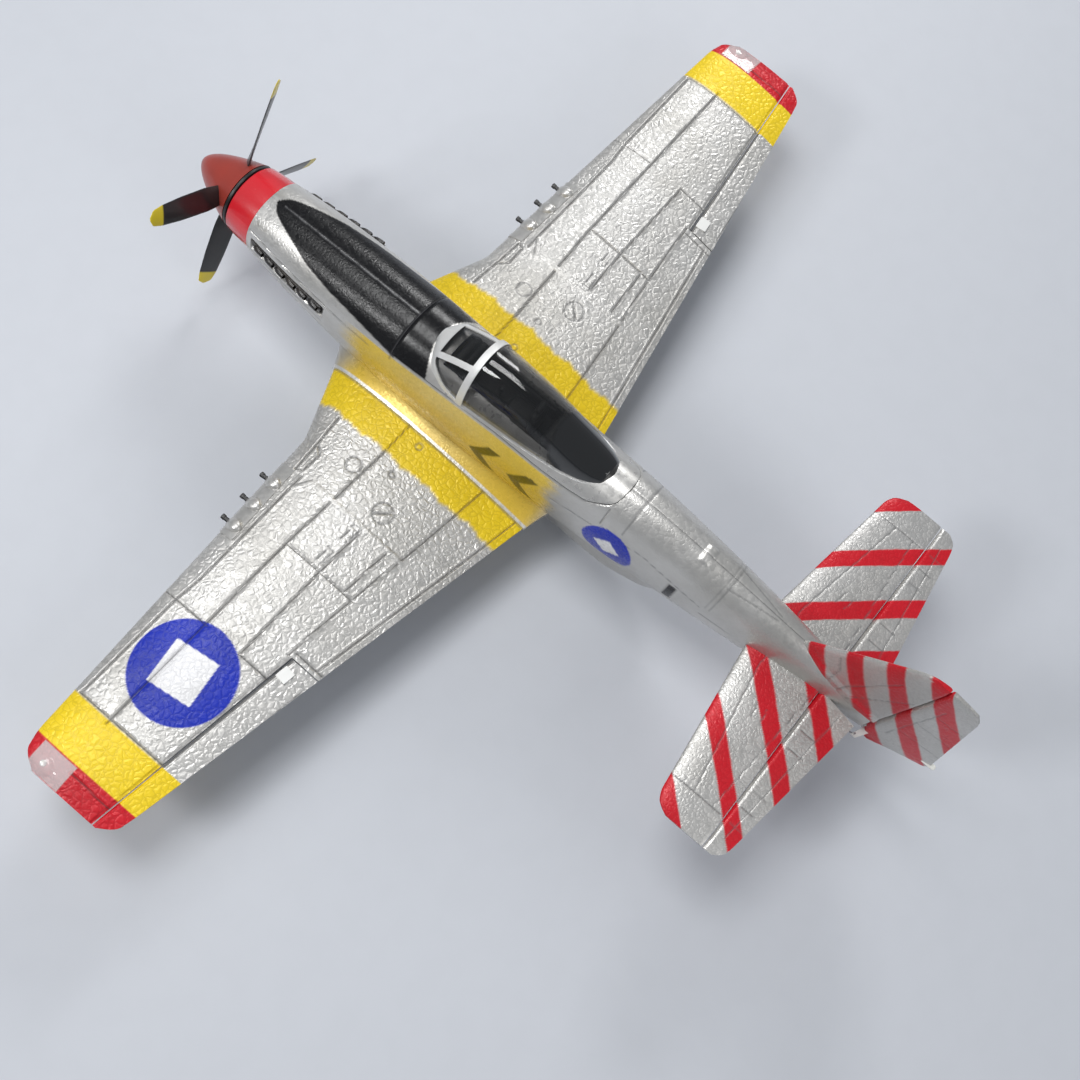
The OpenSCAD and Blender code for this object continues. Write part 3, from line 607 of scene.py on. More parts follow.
WING_LINES = (
    ((54, 143.7), (90, 146.4), (88, 150), (76.6, 150.5), (73, 146.3)),
    ((91, 151.8), (164, 152.5), (179, 151), (240, 150.7)),
    ((30, 174.3), (55, 174.3), (91, 172.6), (119, 171.1), (243, 170.4)),
    ((91, 194.2), (123, 193.2), (178, 193)), ((122.6, 172), (122.6, 215)),
    ((30, 226), (53, 223.4), (91.5, 218.8), (122.5, 214.2), (163.5, 210.1)),
    ((91.5, 211), (122, 209)), ((29.5, 249.5), (53, 245.5), (160.4, 226)),
    ((179, 144), (179, 172)), ((179, 193), (179, 211)), ((240.3, 150), (240.3, 204)),
    ((160.4, 212.6), (160.4, 231.6)), ((269.2, 175.6), (270.2, 199.2)),
    ((171, 231), (171, 227.3), (205, 222.1), (205, 226)), ((75, 199.6), (81.6, 192.8)),
)
WING_BARS = (
    ((94, 189), (94.6, 193), (103, 192.6)), ((96, 189.6), (103, 189.2)),
    ((110, 187.6), (110.6, 191.6), (119, 191.2)), ((112, 188), (119, 187.8)),
)
WING_RINGS = ((78.3, 196.2, 5.6), (68.9, 167.3, 4.2), (59.5, 185.7, 1.6), (38.7, 185.5, 1.9))
WING_RIB = ((99, 153.2), (90.3, 158.5), (91, 173), (91.5, 218.4))


def wing_lines(x, s):
    x = np.abs(x)
    value = lines(x, s, WING_LINES, 0.42)
    value = np.maximum(value, lines(x, s, WING_BARS, 0.45))
    for cx, cs, r in WING_RINGS:
        value = np.maximum(value, fall(0.2, 0.8, np.abs(np.hypot(x - cx, s - cs) - r)))
    return value


def lined(x, s, paths):
    """Height of engraved lines with a slightly raised lip either side."""
    best = np.min([far(np.abs(x), s, path) for path in paths], 0)
    return 0.2 * np.exp(-((best - 1.25) / 0.45) ** 2) - 0.42 * np.exp(-(best / 0.6) ** 2)


# Mask of the engraved lines, darkened in the foam material as painted shade
def wing_groove(x, s, h, tag):
    value = wing_lines(x, s)
    rib = fall(0.9, 1.7, far(np.abs(x), s, WING_RIB))
    value = np.maximum(value * (1 - rib), 0.45 * (rib > 0.02) * (rib < 0.6))
    # painted shadow line on the wing along the outer edge of the root fillet
    root = fall(0.3, 1.4, np.abs(x) - 33.2)
    return np.maximum(value * (0.6 + 0.4 * tag), root * (np.abs(x) > 33))


ROUNDEL_X, ROUNDEL_S, ROUNDEL_R, DIAMOND_R = 202.6, 179.4, 26.5, 17.1
ROOT_BAND_END, TIP_BAND, RED_FROM = (51.2, 54.4), (241, 266), 265
LED_X, LED_S, LAMP_S = 274, 162, (155, 175.5)


def wing_paint(x, s, h, tag):
    out = np.abs(x)
    colour = coat(SILVER, len(x))
    root = fall(*ROOT_BAND_END, out + wobble(s, 1.2, 2.0)) * step(27, 30, out)
    colour = mix(colour, YELLOW, root)
    colour = mix(colour, BRIGHT, fall(26.5, 27, out) * 0.5)
    colour = mix(colour, YELLOW, band(out, *TIP_BAND, 0.3))
    colour = mix(colour, RED, step(RED_FROM, RED_FROM + 0.5, out))
    dx, ds = x - ROUNDEL_X, s - ROUNDEL_S
    top = tag > 0.5
    disc = fall(ROUNDEL_R - 0.3, ROUNDEL_R + 0.3, np.hypot(dx, ds))
    colour = mix(colour, BLUE, disc * top)
    corner = np.abs(0.6 * dx + 0.8 * ds) + np.abs(0.8 * dx - 0.6 * ds)
    colour = mix(colour, WHITE, fall(DIAMOND_R - 0.3, DIAMOND_R + 0.3, corner) * top)
    # painted shade along the hinge gap between wing and aileron: a dark grey band over the hinge
    # line
    strip = band(s - hinge_line(out), -0.7, 1.1, 0.25) * (out > 163.3) * (out < TIP_BAND[0])
    colour = mix(colour, (0.2, 0.2, 0.2, 0.3), strip)
    lamp = band(out, 265.8, 300, 0.3) * band(s, *LAMP_S, 0.3) * top
    colour = mix(colour, (0.62, 0.5, 0.48, 0.3), lamp * 0.4)
    return colour


def wing_panel():
    x = np.concatenate([np.arange(0.05, 24, 1.5), np.arange(24.5, 163.0, 0.66), [163.2, 163.3],
                        np.arange(163.8, 276, 0.66), np.linspace(276.2, TIP_X, 10)])[:, None]
    front, rear = 158, 66
    le, te = edges(x)
    split = (hinge_line(x) - HINGE_GAP - le) / (te - le)
    q = np.arange(front + 1)[None] / front
    r = np.arange(1, rear + 1)[None] / rear
    u = np.concatenate([split * (0.0004 + 0.9996 * q ** 1.5), split + (1 - split) * r], 1)
    x = x + 0 * u
    top, low = wing_point(x, u, 1), wing_point(x, u, -1)
    cut = lined(x, top[..., 1], WING_LINES) - 0.35 * wing_lines(x, top[..., 1])
    rib = fall(0.9, 1.7, far(x, top[..., 1], WING_RIB))
    near = np.clip(hinge_line(x) - HINGE_GAP - top[..., 1], 0, 9) * (x > 163.25)
    lip = np.where(x > 163.25, 0.9 * fall(0.5, 1.6, near), 0)
    top[..., 2] += 0.45 * rib + cut * (1 - rib) - lip
    low[..., 2] += 0.3 * wing_lines(x, low[..., 1]) + lip
    keep = (np.arange(front + rear)[None] < front) | (x[:-1, :-1] < 163.25)
    return shell(top, low, keep)


def aileron():
    x = np.concatenate([np.arange(163.8, 276, 0.62), np.linspace(276.2, TIP_X, 10)])[:, None]
    le, te = edges(x)
    u0 = (hinge_line(x) + HINGE_GAP - le) / (te - le)
    face = half_thick(u0, te - le, soft(THICK, x, 2.5)) * BEVEL
    u1 = u0 + face / (te - le)
    q = np.linspace(0, 1, 46)[None]
    u = u1 + (1 - u1) * q
    x = x + 0 * u
    grids = []
    for side in (1, -1):
        skin = wing_point(x, u, side)
        gap = np.clip(skin[..., 1] - skin[:, :1, 1], 0, 9)
        lip = 0.5 * fall(0, 1.2, gap)
        skin[..., 2] -= side * (0.3 * wing_lines(x, skin[..., 1]) + lip)
        first = wing_point(x[:, :1], u0, 0)
        first[..., 2] += side * 0.05
        middle = first * 0.5 + skin[:, :1] * 0.5
        grids.append(np.concatenate([first, middle, skin], 1))
    return shell(*grids)


GUN_X = (103.0, 118.0, 132.5)
GUN_COVER_REAR = ((91.2, 147), (139.5, 149.8))


def gun_cover():
    x = np.arange(91.2, 139.6, 0.45)[:, None]
    up = np.linspace(0.0004, 1, 46)[None] ** 1.6
    le, te = edges(x)
    reach = (lin(GUN_COVER_REAR, x) - le) / (te - le)
    low = np.linspace(1, 0.0004, 16)[None] ** 1.6
    lower = wing_point(x + 0 * low, low * 0.05, -1)
    upper = wing_point(x + 0 * up, up * reach, 1)
    base = np.concatenate([lower, upper], 1)
    xx, ss = base[..., 0], base[..., 1]
    bump = np.zeros(xx.shape)
    for gx in GUN_X:
        cs = edges(gx)[0] + 3.4
        ahead = ss < cs
        d = np.hypot((xx - gx) / 3.7, (ss - cs) / np.where(ahead, 4.2, 5.2))
        bump = np.maximum(bump, 2.9 * np.sqrt(np.clip(1 - d * d, 0, 1)))
    side = np.concatenate([np.full(low.shape[1], 0.0), np.full(up.shape[1], 1.0)])[None]
    out = base.copy()
    out[..., 2] += (0.5 + bump) * side - 0.5 * (1 - side)
    out[..., 1] -= 0.35 * fall(0, 3, ss - edges(xx)[0])
    inner = base.copy()
    inner[..., 2] -= 0.3 * (2 * side - 1)
    return shell(out, inner)


def ring_points(centre, normal, radius, count, squash=1.0):
    """Circle of points round a centre, facing along normal."""
    normal = np.array(normal, float) / np.linalg.norm(normal)
    side = np.cross(normal, (0, 0, 1.0) if abs(normal[2]) < 0.9 else (1.0, 0, 0))
    side /= np.linalg.norm(side)
    up = np.cross(side, normal)
    a = np.linspace(0, 2 * np.pi, count, endpoint=False)[:, None]
    return np.array(centre) + radius * (np.cos(a) * side + squash * np.sin(a) * up)


def turned(profile, at, count=48, axis=(0, 1, 0)):
    """Turned part from (distance along, radius) pairs."""
    at, axis = np.array(at, float), np.array(axis, float)
    return tube(np.array([ring_points(at + axis * d, axis, max(r, 0.02), count)
                          for d, r in profile]))


def muzzles():
    parts = []
    for gx in GUN_X:
        s0 = float(edges(gx)[0])
        h0 = float(chord_line(gx)) + 1.5
        profile = ((8, 1.2), (-2.6, 1.2), (-2.7, 1.45), (-4.4, 1.45), (-4.5, 1.35), (-4.5, 0.75),
                   (-2.5, 0.7), (-2.5, 0.02))
        parts.append(turned(profile, (gx, s0, h0), 24))
    return parts


def tip_cover():
    """Clear cover over the lamp at the wing tip, lying on the skin."""
    x = np.linspace(265.9, 280.2, 40)[:, None]
    s = np.linspace(155.2, 175.4, 46)[None]
    xx = np.minimum(x, 279.6) + 0 * s
    le, te = edges(xx)
    u = np.clip((s + 0 * xx - le) / (te - le), 0.0004, 1)
    base = wing_point(xx, u, 1)
    d = np.hypot((base[..., 0] - LED_X - 1) / 5.0, (base[..., 1] - LED_S) / 6.0)
    lift = 0.45 + 1.4 * np.sqrt(np.clip(1 - d * d, 0, 1))
    out, inner = base.copy(), base.copy()
    out[..., 2] += lift
    inner[..., 2] += np.maximum(lift - 0.5, 0.05)
    end = (x >= 279.7) + 0 * s > 0
    out[..., 0] += np.where(end, 0.9, 0)
    inner[..., 0] += np.where(end, 0.4, 0)
    out[..., 2] -= np.where(end, 1.6, 0)
    inner[..., 2] -= np.where(end, 1.6, 0)
    return shell(out, inner)


def globe(centre, radius):
    """Ball through level rings of points."""
    rings = []
    for k in np.radians(np.linspace(2, 178, 14)):
        level = np.array(centre) - (0, 0, radius * math.cos(k))
        rings.append(ring_points(level, (0, 0, 1), radius * math.sin(k), 20))
    return tube(np.array(rings))


# ---- Tail ----
STAB_LE = ((0, 377), (98, 390), (103.5, 393), (106, 399))
STAB_TE = ((0, 447), (98, 433.2), (103.5, 431.4), (106, 427))
STAB_T = ((0, 0.092), (98, 0.1), (103.5, 0.09), (106, 0.07))
STAB_H = 2.0
ELEVATOR_S = 421.5
STAB_TIP = 106.0
TAIL_STRIPES = ((200, 294), (324.5, 337.3), (364, 378), (402, 416))
TAIL_LINES = (
    ((9, 390.4), (18, 389.8), (88.2, 402.5)), ((88.5, 389), (88.5, 419)),
    ((7.8, 420.0), (88, 413.8)), ((30, 425.8), (30, 435)), ((41, 425.8), (41, 435)),
    ((69.5, 425), (69.5, 433)), ((79, 425), (79, 432)), ((34, 401), (42, 402.5)),
    ((34, 406.5), (42, 408)), ((88.5, 425), (88.5, 434)), ((12, 437), (96, 427.5)),
)


def stab_point(x, u, side):
    le, te = soft(STAB_LE, np.abs(x), 2), soft(STAB_TE, np.abs(x), 2)
    c = te - le
    return np.stack([x + 0 * u, le + u * c,
                     STAB_H + side * half_thick(u, c, soft(STAB_T, np.abs(x), 2))], -1)


def tail_lines(x, s, *_):
    return lines(np.abs(x), s, TAIL_LINES, 0.42)


def tail_paint(x, s, *_):
    k = s - 1.078 * np.abs(x) + wobble(x, 0.25)
    colour = coat(SILVER, len(x))
    for lo, hi in TAIL_STRIPES:
        colour = mix(colour, RED, band(k, lo, hi, 0.35))
    return colour


def across(half):
    return np.concatenate([-half[::-1], half])


def stabilizer():
    half = np.concatenate([np.arange(0.35, 103.5, 0.7), np.linspace(104, STAB_TIP, 7)])
    x = across(half)[:, None]
    le, te = soft(STAB_LE, np.abs(x), 2), soft(STAB_TE, np.abs(x), 2)
    end = (ELEVATOR_S - HINGE_GAP - le) / (te - le)
    q = np.linspace(0, 1, 64)[None]
    u = end * (0.0006 + 0.9994 * q ** 1.5)
    x = x + 0 * u
    grids = []
    for side in (1, -1):
        skin = stab_point(x, u, side)
        lip = 0.5 * fall(0, 1.2, ELEVATOR_S - HINGE_GAP - skin[..., 1])
        skin[..., 2] -= side * (0.28 * tail_lines(x, skin[..., 1]) + lip)
        grids.append(skin)
    return shell(*grids)


def elevator_half():
    x = np.concatenate([np.arange(7.6, 103.5, 0.7), np.linspace(104, STAB_TIP, 7)])[:, None]
    le, te = soft(STAB_LE, x, 2), soft(STAB_TE, x, 2)
    u0 = (ELEVATOR_S + HINGE_GAP - le) / (te - le)
    u1 = u0 + half_thick(u0, te - le, soft(STAB_T, x, 2)) * BEVEL / (te - le)
    u = u1 + (1 - u1) * np.linspace(0, 1, 30)[None]
    grids = []
    for side in (1, -1):
        skin = stab_point(x + 0 * u, u, side)
        gap = skin[..., 1] - skin[:, :1, 1]
        lip = 0.4 * fall(0, 1.2, gap)
        skin[..., 2] -= side * (0.28 * tail_lines(x + 0 * u, skin[..., 1]) + lip)
        first = stab_point(x, u0, 0)
        first[..., 2] += side * 0.04
        both = np.concatenate([first, first * 0.5 + skin[:, :1] * 0.5, skin], 1)
        inset = 3.3 * np.clip((both[..., 1] - 424) / 26, 0, 1)
        both[..., 0] = np.maximum(both[..., 0], 7.6 + inset)
        grids.append(both)
    return shell(*grids)


FIN_LE = ((10, 391), (28, 400.7), (82, 436), (86, 439.5), (88, 443))
FIN_TE = ((10, 496), (28, 492), (82, 474), (86, 468), (88, 462))
FIN_T = ((10, 9), (28, 8.4), (82, 4.6), (86, 3.6), (88, 2))
RUDDER_S = 450.5
RUDDER_TE = ((-21.6, 464), (-4, 486), (2, 487), (79, 470.5), (86, 466), (87.9, 453.5))
RUDDER_LE = ((-21.6, 460), (-13, RUDDER_S), (88, RUDDER_S))
RUDDER_T = ((-24, 9.2), (90, 4.4))
FIN_STRIPES = ((604.5, 622.5), (645, 662), (684.5, 702.3), (725, 743))
FIN_LINES = (
    ((413, 41), (418, 31), (419, 15)), ((423, 8), (438, 65)), ((431, 12), (449, 57)),
    ((459, 6), (459, 70)), ((459, 40), (478, 38)), ((459, 20), (483, 18)), ((459, 60), (474, 58)),
)


def fin_paint(x, s, h, _):
    k = h + 1.45 * s + wobble(h, 0.3)
    colour = coat(SILVER, len(x))
    for lo, hi in FIN_STRIPES:
        colour = mix(colour, RED, band(k, lo, hi, 0.5))
    return colour


def fin_groove(_x, s, h, _tag):
    return lines(s, h, FIN_LINES, 0.4) * 0.8


def both_sides(x, s, h):
    return shell(np.stack([x, s, h], -1), np.stack([-x, s, h], -1))


def fin():
    h = np.concatenate([np.arange(10.3, 85.5, 0.8), np.linspace(86, 88, 6)])[:, None]
    le, te = soft(FIN_LE, h, 1.5), soft(FIN_TE, h, 1.5)
    end = (RUDDER_S - HINGE_GAP - le) / (te - le)
    v = end * (0.0008 + 0.9992 * np.linspace(0, 1, 66)[None] ** 1.6)
    s = le + v * (te - le)
    cos_a = 1 - 2 * v
    x = soft(FIN_T, h, 1.5) * np.sqrt(v * (1 - v)) * (1 + 0.3 * cos_a)
    foot = 1.3 * fall(0, 4, h - soft(TOP_H, s, 9))
    x = x + foot * np.clip(v * 5, 0, 1)
    lip = 0.35 * fall(0, 1.2, RUDDER_S - HINGE_GAP - s)
    x = x - 0.25 * lines(s, h + 0 * s, FIN_LINES, 0.5) - lip
    return both_sides(x, s, h + 0 * s)


def rudder():
    h = np.concatenate([np.linspace(-21.5, -20.5, 4), np.arange(-19.8, 85.5, 0.8),
                        np.linspace(86, 87.8, 6)])[:, None]
    le = lin(RUDDER_LE, h) + HINGE_GAP
    te = soft(RUDDER_TE, h, 1.2)
    te = np.maximum(te, le + 1.5)
    half = soft(RUDDER_T, h, 1) / 2
    half = np.minimum(half, lin(((-22, 1.6), (-16, 4.6), (60, 4.6), (86, 2.0), (88, 1.1)), h))
    nose = half * BEVEL
    q = np.linspace(0, 1, 40)[None]
    s = np.concatenate([le, le + nose * 0.5, le + nose + (te - le - nose) * q], 1)
    full = half + (0.7 - half) * q ** 1.15
    x = np.concatenate([0 * le + 0.05, half * 0.5, full], 1)
    lip = 0.35 * fall(0, 1.2, s - le - nose) * (s > le + nose - 0.01)
    x = np.maximum(x - 0.2 * lines(s, h + 0 * s, FIN_LINES, 0.5) - lip, 0.05)
    return both_sides(x, s, h + 0 * s)


# ---- Hatch, canopy and cockpit ----
def deck_paint(x, s, h, tag):
    colour = coat(SILVER, len(x))
    edge = lin(((0, 165), (8, 165.4), (13, 167.4), (17, 169.8), (21, 172.1), (28, 174)), np.abs(x))
    colour = mix(colour, BLACK, fall(-0.3, 0.3, s - edge))
    return np.where(tag[:, None] > 0.5, colour, coat((0.05, 0.05, 0.05, 0.1), len(x)))


def deck_groove(x, s, h, tag):
    spine = fall(0.2, 0.7, np.abs(s - 284.5)) * (h < 26)
    return spine * tag


def hatch_deck():
    s = np.concatenate([[150.15, 150.5], np.arange(151, 283.5, 0.8),
                        np.arange(283.6, 286.2, 0.3)])[:, None]
    edge = angle_at(s, soft(HATCH_LINE, s, 1.5) + 0.3)
    k = np.linspace(0, 1, 91)[None]
    a = edge + (180 - 2 * edge) * k
    s = s + 0 * a
    out, inner = body_point(s, a), body_point(s, a, -3.0)
    round_off = 0.5 * fall(0, 1.2, s - 150.15)
    out[..., 2] -= round_off
    open_x = np.abs((out[:-1, :-1, 0] + out[1:, 1:, 0]) / 2) < 11.5
    open_s = (s[:-1, :-1] > 175) & (s[:-1, :-1] < 250)
    return shell(out, inner, ~(open_x & open_s))


def dome_point(s, a, g):
    w = soft(FOOT_W, s, 1.6) + g
    f = soft(FOOT_H, s, 1.6) - 3
    t = soft(CANOPY_TOP, s, 4) + g
    close = np.sqrt(np.clip((277.0 - s) / 4.0, 0.0004, 1))
    w, t = w * close, f + (t - f) * close
    c, n = np.cos(np.radians(a)), np.sin(np.radians(a))
    return np.stack([w * c, s + 0 * n, f + (t - f) * n], -1)


def dome_grid(g, pitch=0.7, count=121):
    s = np.concatenate([np.linspace(164.2, 170, 14)[:-1], np.arange(170, 270, pitch),
                        np.linspace(270, 276.99, 26)])[:, None]
    a = np.linspace(2, 178, count)[None]
    return dome_point(s + 0 * a, a + 0 * s, g)


def glass_paint(x, s, h, _):
    """Clear in front, solid black over the rear of the cockpit."""
    hide = step(241, 245, s + 0.25 * (h - 30))
    return np.stack([0 * x, 0 * x, 0 * x, hide], -1)


def canopy_frame():
    out, inner = dome_grid(0.75, 0.3, 301), dome_grid(0.05, 0.3, 301)
    middle = (out[:-1, :-1] + out[1:, 1:]) / 2
    x, s, h = middle[..., 0], middle[..., 1], middle[..., 2]
    above = h - soft(FOOT_H, s, 1.6)
    arch = s < 170.9
    foot = (above < lin(((168, 7.5), (180, 4.4), (192, 1.9)), s)) & (s < 194)
    bow = (s > 190.3) & (s < 194.4)
    strut = (np.abs(np.abs(x) - lin(((162, 11), (192, 10)), s)) < 1.3) & (s < 192) & (h > 24)
    rail = (above < 0.9) & (s < 268)
    return shell(out, inner, arch | foot | bow | strut | rail)


def soft_box(x, s, h, bevel):
    """Rounded block as a part, from its x, station and height ranges."""
    bm = bmesh.new()
    bmesh.ops.create_cube(bm, size=1)
    for v in bm.verts:
        v.co = [a[0] + (a[1] - a[0]) * (c + 0.5) for a, c in zip((x, s, h), v.co)]
    bmesh.ops.bevel(bm, geom=bm.edges[:], offset=bevel, segments=3, affect="EDGES",
                    profile=0.5)
    bm.verts.ensure_lookup_table()
    points = np.array([v.co[:] for v in bm.verts])
    quads = np.array([[v.index for v in (list(f.verts) + [f.verts[-1]])][:4] for f in bm.faces
                      if len(f.verts) <= 4])
    bm.free()
    return points, outward(points, quads), np.ones(len(points))


COCKPIT_BLOCKS = (  # floor, panel hood, panel, seat, its back, head rest, radio, side shelves
    ((-11, 11), (177, 249), (10, 12), 0.6),
    ((-10.5, 10.5), (177.5, 182), (12, 30.5), 1.5),
    ((-9.5, 9.5), (183, 186.5), (21, 32), 1.4),
    ((-6, 6), (210, 226), (11.5, 16.5), 1.8),
    ((-6, 6), (225, 229.5), (12, 33), 1.8),
    ((-3.2, 3.2), (225.6, 229), (32, 38.5), 1.4),
    ((-9.5, 9.5), (236, 249.5), (11.5, 30), 2.0),
    ((-10.8, -8.6), (188, 232), (12, 21.5), 0.7),
    ((8.6, 10.8), (188, 232), (12, 21.5), 0.7),
)


def cockpit():
    parts = [soft_box(*block) for block in COCKPIT_BLOCKS]
    stick = ((0, 0.7), (8, 0.6), (8.2, 1.3), (10.5, 1.2), (10.8, 0.3))
    parts.append(turned(stick, (0, 204, 11.8), 16, (0, 0, 1)))
    dial = ((0, 1.5), (0.5, 1.5), (0.6, 1.2), (0.3, 1.1), (0.3, 0.05))
    for gx, gh in ((-6, 27.5), (-2, 28.5), (2, 28.5), (6, 27.5), (-4, 24.3), (4, 24.3)):
        parts.append(turned(dial, (gx, 186.3, gh), 20))
    return parts


# ---- Nose ----
SPIN_LEN, SPIN_R = 31.0, 18.9
NOSE = (0, 0, 0)


def spinner():
    u = np.linspace(0.0015, 1, 60) ** 1.4
    outer = [(SPIN_LEN * k, SPIN_R * k ** 0.56 * (1.02 - 0.02 * k)) for k in u]
    inner = [(max(SPIN_LEN * k, 2.5), max(SPIN_R * k ** 0.56 - 1.1, 0.05)) for k in u[::-1]]
    return turned(outer + inner, NOSE, 96)


BLADE_CUTS = ((5.2, 50, 7.5, 2.6), (14, 42, 9.5, 2.0), (26, 33, 12, 1.5), (44, 27, 12, 1.2),
              (58, 24, 10.5, 1.0), (64.5, 22, 8, 0.8), (66, 22, 4.5, 0.5))
PROP_S, PROP_CLOCK = 24.6, 57.0


def table_column(rows, k):
    return tuple((r[0], r[k]) for r in rows)


def blade(clock):
    d = np.concatenate([np.linspace(5.2, 62, 60), np.linspace(62.4, 66, 14)])
    pitch, chord, thick = (soft(table_column(BLADE_CUTS, k), d, 1.5) for k in (1, 2, 3))
    chord = np.where(d > 64.5, chord * np.sqrt(np.clip((66.4 - d) / 1.9, 0.05, 1)), chord)
    rings = []
    for r, p, c, t in zip(d, np.radians(pitch), chord, thick):
        a = np.linspace(0, 2 * np.pi, 28, endpoint=False)
        along, flat = c / 2 * np.cos(a), t / 2 * np.sin(a) + 0.05 * c * np.sin(a / 2) ** 2
        rings.append(np.stack([along * math.cos(p) - flat * math.sin(p),
                               PROP_S + along * math.sin(p) + flat * math.cos(p),
                               r + 0 * a], -1))
    points, quads, tag = tube(np.array(rings))
    turn = math.radians(clock)
    x, s, h = points.T
    points = np.stack([x * math.cos(turn) + h * math.sin(turn), s,
                       h * math.cos(turn) - x * math.sin(turn)], -1)
    return points, quads, tag


def blade_paint(x, s, h, tag):
    reach = np.hypot(x, h)
    colour = coat((0.01, 0.01, 0.011, 0), len(x))
    return mix(colour, (0.72, 0.56, 0.02, 0), step(57.6, 58.2, reach))


STUBS, STUB_PITCH = 6, 8.1


def exhaust_row():
    """Base strip in its slot with six stubs that sweep aft and end open."""
    s = np.linspace(54.3, 104.8, 90)[:, None]
    h = np.linspace(2.2, 8.0, 12)[None]
    skin = soft(HALF_W, s, 9) + 0 * h
    rough = 0.25 * np.sin(s * 2.1) * np.cos(h * 1.7)
    out = np.stack([skin - 1.1 + rough, s + 0 * h, h + 0 * s], -1)
    inner = np.stack([skin - 2.2, s + 0 * h, h + 0 * s], -1)
    parts = [shell(out, inner)]
    for i in range(STUBS):
        s0, h0 = 57.2 + STUB_PITCH * i, 5.0 + 0.12 * i
        w = float(soft(HALF_W, s0, 9))
        path = ((-2.2, 0, 0, 1.7), (-1.3, 0.3, 0.1, 1.9), (-0.7, 1.3, 0.2, 1.8),
                (-0.3, 3.2, 0.3, 1.6), (0.0, 5.4, 0.4, 1.45))
        rings = []
        for k, (dx, ds, dh, r) in enumerate(path):
            ahead = path[min(k + 1, 4)]
            back = path[max(k - 1, 0)]
            way = (ahead[0] - back[0], ahead[1] - back[1], ahead[2] - back[2])
            rings.append(ring_points((w + dx, s0 + ds, h0 + dh), way, r, 20, 1.15))
        dx, ds, dh, r = path[-1]
        way = (0.5, 2.0, 0.1)
        for back, rr in ((0.0, 1.0), (1.6, 0.85), (1.65, 0.05)):
            centre = (w + dx - 0.25 * back, s0 + ds - back, h0 + dh - 0.05 * back)
            rings.append(ring_points(centre, way, rr, 20, 1.15))
        parts.append(tube(np.array(rings)))
    return parts


# ---- Belly ----
def belly_scoop():
    """Radiator scoop under the fuselage with an open front."""
    floor = ((188, -55.2), (190, -56.9), (294, -56.9), (322, -47), (332, -37))
    wide = ((188, 12.6), (200, 13.9), (300, 13.9), (318, 11.5), (332, 7.5))
    s = np.concatenate([np.linspace(188, 192, 6), np.linspace(193, 332, 110)])
    rings, hole = [], []
    for k in s:
        w, low = float(soft(wide, k, 3)), float(soft(floor, k, 2.5))
        a = np.linspace(0, 2 * np.pi, 64, endpoint=False) + 0.05
        x = w * np.sign(np.cos(a)) * np.abs(np.cos(a)) ** 0.45
        mid = -36.0
        z = mid + (mid - low) * np.sign(np.sin(a)) * np.abs(np.sin(a)) ** 0.5
        z = np.where(z > mid, mid + (z - mid) * 0.3, z)
        rings.append(np.stack([x, k + 0 * a, z], -1))
    for k in (188.0, 190.0, 214.0):
        base = rings[0].copy()
        centre = base.mean(0)
        base = centre + (base - centre) * (0.86, 1, 0.82)
        base[:, 1] = k
        hole.append(base)
    last = hole[-1].mean(0) + (hole[-1] - hole[-1].mean(0)) * 0.02
    return tube(np.array([last] + hole[::-1] + rings))


def plain_paint(colour):
    return lambda x, *_: coat(colour, len(x))


def half_paint(x, s, h, tag):
    """Fuselage paint, with the root strip left bright silver."""
    colour = body_paint(x, s, h, tag)
    strip = step(31.0, 31.5, np.abs(x))
    return mix(colour, BRIGHT, strip)


# ---- Put the pieces together ----
half_shell = fuselage_half()
panel, flap, cover, lens, row = wing_panel(), aileron(), gun_cover(), tip_cover(), exhaust_row()
for side, flip in (("left", as_built), ("right", mirrored)):
    piece(f"fuselage_{side}_skin", [flip(p) for p in half_shell], BODY_FOAM, "airframe",
          [f"fuselage_{side}"], half_paint, body_groove)
    piece(f"wing_{side}_skin", [flip(panel)], WING_FOAM, "airframe", [f"wing_{side}"],
          wing_paint, wing_groove)
    piece(f"aileron_{side}_skin", [flip(flap)], WING_FOAM, f"{side}_aileron",
          [f"aileron_{side}"], wing_paint, wing_groove)
    piece(f"gun_cover_{side}_skin", [flip(cover)], BODY_FOAM, "airframe",
          [f"gun_cover_{side}"], plain_paint(SILVER))
    piece(f"tip_cover_{side}", [flip(lens)], TIP_CLEAR, "airframe", [f"tip_light_{side}"],
          plain_paint((0, 0, 0, 0)))
    piece(f"exhaust_row_{side}", [flip(p) for p in row], STACK, "airframe", [f"exhausts_{side}"])
guns = muzzles()
piece("gun_barrels", guns + [mirrored(p) for p in guns], GAP_BLACK, "airframe",
      ["gun_muzzles"])
led = globe((LED_X, LED_S, float(chord_line(LED_X)) + 3.0), 1.7)
piece("tip_bulbs", [led, mirrored(led)], LAMP, "airframe", ["tip_leds"])

piece("stabilizer_skin", [stabilizer()], TAIL_FOAM, "airframe", ["stabilizer"], tail_paint,
      tail_lines)
half_elevator = elevator_half()
piece("elevator_skin", [half_elevator, mirrored(half_elevator)], TAIL_FOAM, "elevator",
      ["elevator"], tail_paint, tail_lines)
piece("fin_skin", [fin()], TAIL_FOAM, "airframe", ["fin"], fin_paint, fin_groove)
piece("rudder_skin", [rudder()], TAIL_FOAM, "rudder", ["rudder"], fin_paint, fin_groove)

piece("hatch_skin", [hatch_deck()], DECK_FOAM, "hatch", ["hatch_deck"], deck_paint, deck_groove)
piece("canopy_glass", [shell(dome_grid(0), dome_grid(-0.8))], GLASS, "hatch",
      ["canopy_glazing"], glass_paint)
piece("canopy_frame", [canopy_frame()], FRAME_PAINT, "hatch", ["windshield_frame"],
      plain_paint(BRIGHT))
piece("cockpit_fittings", cockpit(), COCKPIT, "hatch", ["cockpit_interior"])

